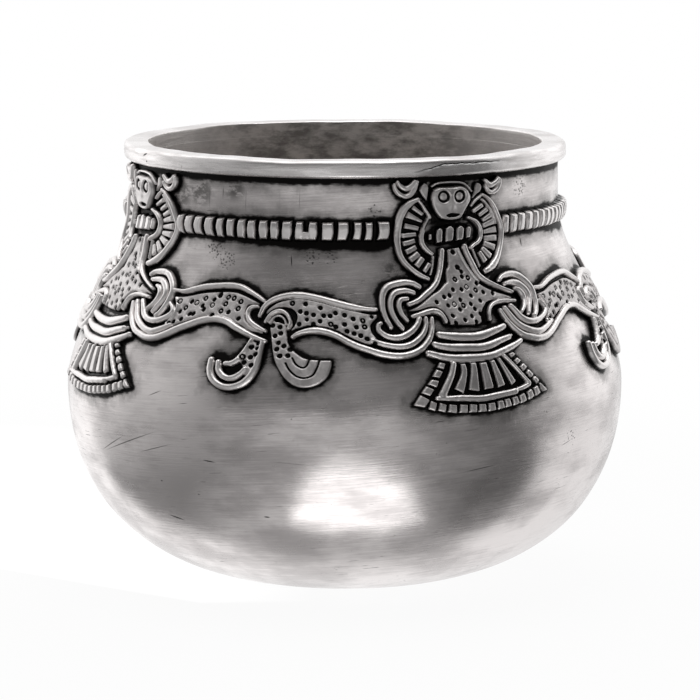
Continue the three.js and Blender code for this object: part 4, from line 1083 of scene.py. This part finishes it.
garland_left = Relief((7, 19), (40, 38.8), -1)
garland_left.web([(16.4, 24.6), (22.1, 24.0), (27.9, 22.6), (33.3, 22.0), (37.3, 23.2), (38.9, 24.6),
                  (39.2, 26.0), (37.0, 27.6), (36.0, 28.0), (33.2, 29.5), (30.3, 28.2), (26.0, 28.9),
                  (20.6, 31.4), (14.7, 32.6), (9.6, 30.4), (8.0, 27.4), (8.2, 26.6), (10.1, 26.6),
                  (12.6, 26.6), (13.2, 25.5), (13.3, 24.1), (11.6, 22.8), (10.0, 21.6), (8.9, 20.9),
                  (11.8, 19.9), (14.2, 20.4), (16.2, 22.6)])
garland_left.plate([[(17.9, 25.8), (18.9, 26.6), (19.5, 27.5), (19.4, 28.7), (18.9, 29.7), (18.6, 30.6)],
                    [(18.6, 30.6), (20.6, 30.5), (23.3, 29.2), (25.95, 27.85), (28.4, 27.37), (30.3, 27.24),
                     (32.3, 27.7), (33.27, 28.17)],
                    [(33.27, 28.17), (32.66, 27.24), (32.3, 26), (32.54, 25.05), (33.5, 24.3),
                     (34.98, 24.07), (36.7, 24.44), (38.15, 25.4)],
                    [(38.15, 25.4), (37.9, 24.8), (36.4, 23.6), (34.7, 22.98), (32.3, 22.7), (29.4, 22.98),
                     (26.4, 23.6), (23, 24.56), (19.6, 25.3), (17.9, 25.4)]], PLATE_TOP, 0.3)
LEFT_STRANDS = [([(8.63, 20.78), (9.85, 20.1), (11.8, 19.8), (14.24, 20.3), (15.7, 21.6), (16.44, 23.6),
                  (16.44, 25.5), (15.83, 27.7)], (0.8, 0.95, 0.95, 0.95, 0.9, 0.75)),
                ([(9.98, 21.76), (11.56, 21.27), (13.5, 21.6), (14.6, 22.85), (14.98, 24.56), (14.6, 26.5),
                  (13.8, 27.98)], (0.7, 0.9, 0.9, 0.9, 0.85, 0.7)),
                ([(11.44, 22.73), (12.78, 22.98), (13.34, 24.07), (13.2, 25.54), (12.54, 26.76)],
                 (0.6, 0.8, 0.85, 0.8, 0.6)),
                ([(10.1, 26.4), (10.83, 27.5), (12.3, 28.7), (14.5, 29.5), (16.7, 29.44), (18.02, 28.46),
                  (18.02, 27.37), (17.46, 27.0)], (0.8, 0.95, 0.95, 0.95, 0.9, 0.6)),
                ([(8.88, 26.4), (9.12, 27.73), (10.34, 29.44), (12.54, 30.78), (15.2, 31.2), (17.66, 30.9),
                  (19.6, 30.17)], (0.7, 0.85, 0.9, 0.9, 0.9, 0.8)),
                ([(7.66, 26.5), (8.02, 28.2), (9.12, 30.17), (11.3, 31.9), (14.7, 32.8), (17.9, 32.6),
                  (20.6, 31.6), (23.3, 30.4), (25.95, 28.95), (28.4, 28.27), (30.3, 28.27), (32.05, 28.8),
                  (33, 29.56)], (0.65, 0.9, 0.95, 0.95, 0.95, 0.95, 0.9, 0.5)),
                ([(17.8, 24.5), (19.6, 24.42), (22.05, 24.05), (24.98, 23.3), (27.9, 22.55), (30.8, 22.12),
                  (33.27, 22.02), (35.46, 22.3), (37.4, 23.1), (38.8, 24.35), (39.3, 25.9)],
                 (0.5, 0.9, 0.9, 0.9, 0.9, 0.85, 0.6)),
                ([(38, 27), (37.3, 25.8), (36.3, 25.12), (35.2, 24.95), (34.1, 25.55), (33.5, 26.9),
                  (33.85, 28)], (0.38, 0.58, 0.6, 0.58, 0.45))]
for points, widths in LEFT_STRANDS:
    garland_left.strand(points, widths)
garland_left.strand([(37.25, 27.0), (36.6, 26.25), (35.6, 25.85), (34.7, 26.3), (34.3, 27.2)],
                    (0.24, 0.28, 0.24), 1.0)
garland_left.plate([[(36.4, 26.7), (37.0, 27.6), (36.65, 29.7), (36.2, 31.6), (35.6, 33.8), (34.7, 35.6),
                     (33.5, 37.1), (32.05, 38.1), (30.5, 38.3), (28.9, 37.7), (27.5, 36.3), (26.8, 34.6),
                     (26.65, 33.5)],
                    [(26.65, 33.5), (30.3, 33.4)],
                    [(30.3, 33.4), (31.3, 33.1), (32.5, 32.2), (33.5, 30.9), (33.9, 29.7), (34.4, 27.4)],
                    [(34.4, 27.4), (36.4, 26.7)]], 1.1, 0.34)
garland_left.groove([(32.9, 33.2), (32.3, 34.3), (31.3, 34.9), (30.6, 34.56), (30.15, 33.4)], 0.32)
garland_left.groove([(33.95, 34.07), (33.27, 35.3), (32.05, 36.4), (30.8, 36.7), (29.6, 36.15), (28.9, 34.8),
                     (28.5, 33.4)], 0.32)
garland_left.punch([(36.6, 27.6), (35.3, 27.85), (35.1, 28.95), (36.05, 29.4), (35.3, 30.6), (34.3, 31.15),
                    (35.45, 31.7), (33.25, 31.76), (34.85, 32.85), (33.6, 32.8), (30.8, 23.6), (28.1, 24.2),
                    (31.8, 24.9), (30.7, 25.2), (29.4, 25.5), (27.5, 25.6), (26.3, 25.6), (25.3, 25.05),
                    (23.7, 25.46), (22.3, 26.15), (28.2, 26.6), (32, 27.07), (29.4, 27.1), (25.5, 27.5),
                    (23.95, 27.07), (21.98, 27.6), (23.7, 28.27), (22.5, 28.7), (21.4, 29.1), (20.4, 29.7)])
garland_left.punch([(18.9, 25.8), (30.6, 26.3), (19.3, 30.6)], 0.34)
garland_left.punch([(35.95, 26.5), (33.3, 23.46), (26.3, 27.07), (20.66, 26.5), (20.5, 27.6)],
                   0.48, 0.5, 0.16)
garland_left.blacken(0.35 * np.clip((23.5 - garland_left.drop) / 2, 0, 1))
garland_left.blacken_round(-31, 31.8, 0.6, 3.0)

garland_right = Relief((6.5, 19), (38.6, 39.4), 1)
garland_right.web([(16.6, 23.2), (22.1, 22.1), (27.0, 21.1), (31.9, 21.2), (36.6, 23.2), (37.0, 24.3),
                   (36.4, 25.6), (38.0, 28.8), (37.9, 30.3), (35.0, 29.2), (32.8, 28.0), (28.0, 26.7),
                   (22.3, 28.7), (16.7, 30.9), (11.5, 30.6), (7.9, 27.0), (7.4, 25.8), (9.9, 25.4),
                   (12.4, 26.4), (13.5, 25.5), (13.8, 24.0), (12.4, 22.3), (9.9, 21.0), (8.8, 20.4),
                   (11.7, 19.6), (15.4, 21.2)])
garland_right.plate([[(18.4, 23.7), (20.6, 23.4), (23.56, 22.7), (27, 22.1), (30.4, 22), (32.8, 22.5),
                      (34.8, 23.2), (36, 23.7)],
                     [(36, 23.7), (34.05, 23.95), (33.56, 24.56), (33.56, 25.5), (34.05, 26.8),
                      (35.3, 27.85), (37.5, 28.95)],
                     [(37.5, 28.95), (35.3, 28.6), (33.07, 27.5), (30.9, 26.76), (28.4, 26.4), (26.2, 26.5),
                      (24.05, 27.1), (21.85, 28), (19.9, 28.95), (18.9, 29)],
                     [(18.9, 29), (19.66, 27.7), (20, 26.5), (19.66, 25.05), (18.4, 23.7)]], PLATE_TOP, 0.3)
RIGHT_STRANDS = [([(8.67, 20.4), (9.67, 19.75), (11.67, 19.5), (13.67, 19.9), (15.3, 21), (16.5, 22.5),
                   (16.83, 24), (16.75, 25.5), (16.17, 26.8), (15.5, 27.4)],
                  (0.7, 0.95, 0.95, 0.95, 0.95, 0.9, 0.7)),
                 ([(9.83, 21.2), (11.5, 21), (13.17, 21.3), (14.5, 22.3), (15.25, 23.5), (15.17, 24.7),
                   (14.67, 25.7), (14.17, 26.8)], (0.65, 0.9, 0.95, 0.95, 0.9, 0.65)),
                 ([(12.17, 22.2), (13, 22.5), (13.67, 23.3), (13.8, 24.3), (13.3, 25.5), (12.33, 26.5)],
                  (0.55, 0.85, 0.9, 0.85, 0.6)),
                 ([(9.9, 25.3), (10.83, 26.3), (12, 27.5), (13.67, 28.25), (15.67, 28.3), (17.3, 27.9),
                   (18.5, 27.3), (19.08, 26.5), (18.67, 25.7), (17.75, 25)],
                  (0.7, 0.9, 0.95, 0.95, 0.85, 0.75, 0.5)),
                 ([(8.33, 25.5), (9.17, 26.8), (10.33, 28.2), (12, 29.3), (14.17, 30.1), (16.17, 30.2),
                   (18.3, 29.6), (20, 28.8)], (0.65, 0.85, 0.9, 0.95, 0.9, 0.7)),
                 ([(7.17, 25.8), (8.17, 27.7), (9.67, 29.3), (11.5, 30.6), (13.67, 31.25), (15.33, 31.5),
                   (17.83, 31.2), (20, 30.3), (22.3, 28.9), (25.3, 27.5), (28, 26.9), (30.4, 27.1),
                   (32.8, 28.2), (35.3, 29.4), (37, 30.05), (38.2, 30.4)],
                  (0.6, 0.8, 0.95, 0.95, 0.95, 0.95, 0.95, 0.9, 0.6)),
                 ([(17.3, 22.56), (19.66, 22.5), (22.1, 21.9), (24.5, 21.3), (27, 20.9), (29.4, 20.8),
                   (31.85, 21), (34.05, 21.76), (35.8, 22.6), (36.98, 23.3)],
                  (0.5, 0.85, 0.9, 0.9, 0.85, 0.5)),
                 ([(35.9, 24.3), (34.8, 24.5), (34.3, 25.3), (34.66, 26.5), (35.76, 27.5), (37.95, 28.6)],
                  (0.5, 0.75, 0.8, 0.75, 0.45)),
                 ([(32.4, 34.75), (33.3, 34.6), (34.2, 33.9), (34.95, 32.6), (35.45, 31.4), (35.8, 30.4)],
                  (0.8, 0.9, 0.85, 0.7, 0.5)),
                 ([(31.1, 34.56), (31.5, 36), (32.6, 37.1), (33.8, 37.2), (34.9, 36.4), (35.6, 35.4)],
                  (0.8, 0.95, 0.9, 0.6)),
                 ([(29.8, 34.2), (30, 36), (30.9, 37.7), (32.3, 38.7), (33.8, 38.8), (35.3, 38.1),
                   (36.4, 36.76), (37.1, 35.05), (37.5, 33.3), (37.7, 31.6), (37.8, 30.5)],
                  (0.85, 0.95, 0.95, 0.95, 0.9, 0.7))]
for points, widths in RIGHT_STRANDS:
    garland_right.strand(points, widths)
garland_right.strand([(18.6, 23.95), (19.4, 24.9), (19.75, 26.2), (19.5, 27.6), (18.9, 28.7)],
                     (0.4, 0.45, 0.4), 1.1)
garland_right.plate([[(35.6, 30.5), (37.7, 30.9)], [(37.7, 30.9), (37.4, 33.0), (36.9, 35.0), (36.2, 36.6)],
                     [(36.2, 36.6), (35.3, 36.3), (35.2, 35.0), (34.5, 34.0)],
                     [(34.5, 34.0), (35.1, 32.8), (35.5, 31.6), (35.6, 30.5)]], PLATE_TOP, 0.3)
garland_right.web([(35.4, 30.0), (37.8, 30.4), (37.4, 33.6), (36.3, 36.8), (34.0, 38.8), (31.0, 37.8),
                   (29.9, 34.6), (31.4, 34.6), (32.6, 34.8), (34.6, 34.0), (35.6, 32.2)])
garland_right.punch([(36.07, 31.56), (37.0, 32.8), (36.2, 33.3), (35.3, 34.25), (36.5, 34.7), (26.8, 23.5),
                     (22.2, 24.2), (24.8, 24.8), (25.4, 25.46), (30.46, 25.5), (20.56, 26.2), (22.8, 26.4),
                     (23.6, 26.3), (27.5, 26.3), (32.7, 26.6), (21.5, 27.5), (20.15, 28.2)])
garland_right.punch([(27.8, 22.6)], 0.52)
garland_right.punch([(37.05, 30.9), (37.05, 31.76), (19.3, 28.5)], 0.32)
garland_right.punch([(34.95, 33.3), (29.66, 22.9), (30.9, 23.05), (32.4, 23.6), (24.9, 23.46), (29.5, 24.07),
                     (32.15, 24.85), (21.4, 25.4), (28.98, 25.4)], 0.48, 0.5, 0.18)
garland_right.punch([(19.7, 24.4), (23.4, 24.4), (26.9, 24.56)], 0.5, 0.22, 0.3)
garland_right.blacken(0.35 * np.clip((22.5 - garland_right.drop) / 2, 0, 1))
garland_right.blacken_round(31.4, 31.6, 1.1, 5.0)

for number, figure in enumerate(FIGURES):
    before, after = CROSSINGS[number - 1] - (2 * np.pi if number == 0 else 0), CROSSINGS[number]
    for label, relief, crossing, side in [("left", garland_left, before, -1),
                                          ("right", garland_right, after, 1)]:
        relief.cast(f"garland_{label}_cast_{number + 1}", GarlandWrap(figure, crossing, side),
                    f"garland_{label}_{number + 1}")

# Rope mouldings: a cord of barrel-shaped beads round the neck, one length from each figure's wing to the
# next. The beads are filed by hand, so no two are alike, and one pair was never parted.
ROPE_DROP, ROPE_TALL = 10, 3.9
ROPE_FROM, ROPE_TO = 11.9, -12.3
ROPE_TOP, ROPE_CROWN = 1.05, 0.75
BEADS = [(0.0, 1.5), (2.05, 3.95), (4.5, 6.45), (7.05, 9.05), (9.65, 11.25), (11.8, 13.55), (14.15, 15.85),
         (16.2, 17.9), (18.5, 20.25), (20.65, 22.35), (22.85, 24.85), (25.35, 26.98), (27.8, 29.55),
         (30.15, 32.5), (33.0, 35.2), (35.8, 37.7), (37.95, 39.7), (40.25, 42.7)]
BOWED, BARRELS, STRAIGHT, JOINED = 6, 13, 15, 11
BEAD_BOW, BEAD_BELLY, BEAD_HOLLOW = 0.42, 0.08, 0.16
BEAD_GAP, BEAD_UNEVEN = 0.12, 0.14
uneven = np.random.default_rng(7)


def rope(length_from, length_to):
    """Beads side by side, each from where it starts to where it ends along a length of the cord. The first
    bow to the left, the next are barrels, two are straight and the last have hollow sides. Two are joined
    at the foot, and more black is left under the later ones. The crown is a parabola across the cord."""
    relief = Relief((length_from, ROPE_DROP - 2.4), (length_to, ROPE_DROP + 2.4))
    ends = length_from + (length_to - length_from) * np.array(BEADS) / BEADS[-1][1]
    low, high = ROPE_DROP - ROPE_TALL / 2, ROPE_DROP + ROPE_TALL / 2
    relief.web([(length_from, low + 0.3), (length_to, low + 0.3),
                (length_to, high - 0.3), (length_from, high - 0.3)])
    for i, (start, end) in enumerate(ends):
        bow = -BEAD_BOW * (1 - i / (BOWED + 1)) if i < BOWED else 0.0
        belly = (-BEAD_BELLY if i < BOWED else BEAD_BELLY if i < BARRELS
                 else 0.0 if i < STRAIGHT else -BEAD_HOLLOW)
        top, foot = low + BEAD_UNEVEN * uneven.random(), high - BEAD_UNEVEN * uneven.random()
        left, right, middle = start + BEAD_GAP - bow * 0.4, end - BEAD_GAP - bow * 0.4, (top + foot) / 2
        relief.plate([[(left, top), (right, top)],
                      [(right, top), (end + belly + bow * 0.6, middle), (right, foot)],
                      [(right, foot), (left, foot)],
                      [(left, foot), (start - belly + bow * 0.6, middle), (left, top)]],
                     ROPE_TOP, 0.5, shine=1)
        if i == JOINED:
            bridge = [(end - 0.3, foot - 0.9), (ends[i + 1][0] + 0.3, foot - 0.9)]
            relief.bar(*bridge, (1.75, 1.75), ROPE_TOP - 0.1, 0.4)
    across = (relief.drop - ROPE_DROP + 0.4) / 2.4
    relief.height += ROPE_CROWN * relief.tone * np.clip(1 - across ** 2, 0, 1)
    along = (relief.run - length_from) / (length_to - length_from)
    relief.blacken(np.interp(along, [0.35, 0.5, 0.65, 1], [0.15, 0.6, 1.1, 1.3])
                   * np.clip((relief.drop - ROPE_DROP) / 2, 0, 1))
    return relief


for number, figure in enumerate(FIGURES):
    apart = (FIGURES[(number + 1) % 4] - figure) % (2 * np.pi)
    relief = rope(ROPE_FROM, apart * NECK_RADIUS * RUN_SCALE + ROPE_TO)
    relief.cast(f"rope_cast_{number + 1}", WRAPS[number], f"rope_moulding_{number + 1}")

# Black round the ornament: each point of the wall is marked with its distance to the nearest casting,
# which the wall's silver reads to darken itself there. Points just under the rim band count as touching it,
# so black and smoke also run under the band: sulphide in its seam and painted shade below it.
ORNAMENT_FROM, RIM_SHADE = 30, 0.6
reach = np.full(outer_turn.size, FAR)
upper = outer_height.ravel() > ORNAMENT_FROM
turns, heights = outer_turn.ravel()[upper], outer_height.ravel()[upper]
# Painted shade under the rim band: the wall counts as touching it down to RIM_SHADE below the lip.
nearest = np.maximum(LIP - RIM_SHADE - heights, 0)
for relief, wrap in laid_on_wall:
    nearest = np.minimum(nearest, relief.reach_at(*wrap.to_flat(turns, heights)))
reach[upper] = np.minimum(nearest, FAR)
marks = np.full(len(wall.data.vertices), FAR)
marks[:reach.size] = reach
layer = wall.data.attributes.new("reach", "FLOAT", "POINT")
layer.data.foreach_set("value", marks.astype(np.float32))

# Studio: a round pale table top under the bowl in a white tent of light, dim where the camera stands
# and bright behind and above, with a soft lamp overhead and a low glow on the table in front. In the
# silver the table top shows a painted glow, with a painted shade and painted pools of light.
TABLE_RADIUS, TABLE_SIDES, TABLE_BELOW = 0.30, 96, 0.02
# Painted light on the table top, seen in the silver: the bent line of a painted shade in front, and painted
# pools of light, each a middle, a reach and a strength.
SHADE_FRONT, SHADE_LEFT = 0.038, 0.028
PAINTED_POOLS = [((0.004, -0.085, 0), (0.036, 0.062, 1), 0.5), ((-0.030, -0.058, 0), (0.030, 0.034, 1), 0.2)]
TENT = [(-180, 0.8), (-150, 1.0), (-116, 1.15), (-104, 0.58), (-78, 0.42), (-60, 0.32), (-45, 0.3),
        (-24, 0.46), (0, 0.46), (15, 0.42), (32, 0.31), (48, 0.21), (66, 0.16), (80, 0.25), (94, 0.58),
        (108, 0.82), (120, 0.95), (150, 1.0), (180, 0.8)]


def room_light():
    """How bright the tent is in a direction: a level for each angle round +Z from -Y towards +X. High is the
    share of it that is left above the horizon, about half in front and all of it at the sides."""
    tree, takes, gives = group("room_light", [("Direction", VECTOR)], [("Level", NUMBER), ("High", NUMBER)])
    way = axes_of(tree, takes["Direction"])
    angle = maths(tree, "ARCTAN2", way["X"], times(tree, way["Y"], -1.0))
    share = plus(tree, times(tree, angle, 0.5 / math.pi), 0.5)
    ramp = node(tree, "ShaderNodeValToRGB", {0: share})
    stops = ramp.color_ramp.elements
    ramp.color_ramp.interpolation = "LINEAR"
    for i, (degrees, level) in enumerate(TENT):
        stop = stops[i] if i < 2 else stops.new(1.0)
        stop.position = degrees / 360 + 0.5
        stop.color = (level, level, level, 1)
    tree.links.new(ramp.outputs["Color"], gives["Level"])
    high = most(tree, between(tree, angle, math.radians(-68), math.radians(-44), 1.15, 0.5),
                 between(tree, angle, math.radians(76), math.radians(104), 0.5, 1.1))
    tree.links.new(high, gives["High"])
    return tree


ROOM_LIGHT = room_light()

table_turn = np.linspace(0, 2 * np.pi, TABLE_SIDES, endpoint=False)
table_edge = np.stack([np.sin(table_turn), -np.cos(table_turn), 0 * table_turn], axis=-1)
table = surface("table_top", table_edge * TABLE_RADIUS / MM - [0, 0, TABLE_BELOW],
                np.arange(TABLE_SIDES)[None, :])


def table_painted_glow():
    """White board that keeps a trace of the bowl's shadow. In the silver it mirrors a painted glow: as
    bright as the tent in front of a bent line, where a painted shade of the camera lies, and fully lit
    behind it, with a soft painted pool of light and a weaker painted gleam in front. The camera sees it
    white."""
    material = bpy.data.materials.new("table_painted_glow")
    material.use_nodes = True
    tree = material.node_tree
    board = next(n for n in tree.nodes if n.type == "BSDF_PRINCIPLED")
    board.inputs["Base Color"].default_value = (0.86, 0.86, 0.86, 1)
    board.inputs["Roughness"].default_value = 0.7
    place = node(tree, "ShaderNodeTexCoord").outputs["Object"]
    room = node(tree, "ShaderNodeGroup", {"Direction": place}, node_tree=ROOM_LIGHT)
    apart, at = vectors(tree, "LENGTH", place), axes_of(tree, place)
    left = most(tree, minus(tree, -SHADE_LEFT, at["X"]), 0.0)
    bent = plus(tree, times(tree, left, 0.9), between(tree, at["X"], 0.025, 0.060, 0.0, 0.007))
    past_shade = between(tree, minus(tree, plus(tree, at["Y"], SHADE_FRONT), bent), -0.009, 0.009)
    lit = times(tree, past_shade, between(tree, apart, 0.10, 0.27, 1.0, 0.0))
    level = times(tree, room.outputs["Level"], between(tree, apart, 0.075, 0.13, 0.65, 1.0))
    for middle, reach, light in PAINTED_POOLS:
        from_pool = node(tree, "ShaderNodeMapping", {"Vector": place, "Location": middle, "Scale": reach},
                         vector_type="TEXTURE").outputs[0]
        level = plus(tree, level, between(tree, vectors(tree, "LENGTH", from_pool), 0.2, 1.0, light, 0.0))
    level = plus(tree, times(tree, level, minus(tree, 1.0, lit)),
                 times(tree, lit, between(tree, at["X"], -0.06, 0.06, 1.12, 0.84)))
    # The painted glow is an emission that glossy rays see in full, and the camera sees as white.
    path = node(tree, "ShaderNodeLightPath").outputs
    strength = most(tree, level, path["Is Camera Ray"])
    painted_emission = node(tree, "ShaderNodeEmission", {"Color": (1, 1, 1, 1), "Strength": strength})
    clear = most(tree, path["Is Camera Ray"], path["Is Transmission Ray"])
    clear = times(tree, clear, between(tree, apart, 0.12, 0.28, 0.94, 1.0))
    share = most(tree, clear, path["Is Glossy Ray"])
    blend = node(tree, "ShaderNodeMixShader", {0: share, 1: board.outputs[0], 2: painted_emission.outputs[0]})
    out = next(n for n in tree.nodes if n.type == "OUTPUT_MATERIAL")
    tree.links.new(blend.outputs[0], out.inputs["Surface"])
    return material


table.data.materials.append(table_painted_glow())


def white_tent():
    """The world: the tent's level in each direction, brighter in its roof, and white to the camera."""
    world = bpy.data.worlds.new("studio")
    world.use_nodes = True
    tree = world.node_tree
    background = next(n for n in tree.nodes if n.type == "BACKGROUND")
    direction = node(tree, "ShaderNodeTexCoord").outputs["Generated"]
    room = node(tree, "ShaderNodeGroup", {"Direction": direction}, node_tree=ROOM_LIGHT).outputs
    up = axes_of(tree, direction)["Z"]
    roof = plus(tree, between(tree, up, 0.74, 0.93, 0.0, 1.0), between(tree, up, 0.93, 0.97, 0.0, 0.4))
    below = between(tree, room["High"], 0.5, 1.1, 1.3, 1.0)
    side = times(tree, room["Level"], between(tree, up, -0.1, 0.1, below, room["High"]))
    seen = node(tree, "ShaderNodeLightPath").outputs["Is Camera Ray"]
    background.inputs["Color"].default_value = (1, 1, 1, 1)
    tree.links.new(most(tree, most(tree, side, roof), seen), background.inputs["Strength"])
    return world


bpy.context.scene.world = white_tent()


def lamp(name, place, aim, size, power):
    """A soft rectangular lamp at a place, facing the aim, in metres and watts."""
    data = bpy.data.lights.new(name, "AREA")
    data.shape, data.size, data.size_y = "RECTANGLE", size[0], size[1]
    data.energy = power
    light = bpy.data.objects.new(name, data)
    light.location = place
    away = np.array(place) - np.array(aim)
    light.rotation_euler = (math.atan2(math.hypot(away[0], away[1]), away[2]), 0,
                            math.atan2(away[1], away[0]) + math.pi / 2)
    light.visible_camera = False
    bpy.context.scene.collection.objects.link(light)


lamp("overhead_lamp", (0.1, 0.15, 0.9), (0, 0, 0.04), (0.5, 0.5), 1)
lamp("low_glow", (0.004, -0.071, 0.001), (0.004, -0.071, 0.1), (0.036, 0.040), 0.0036)

bpy.context.scene.view_settings.view_transform = "Standard"
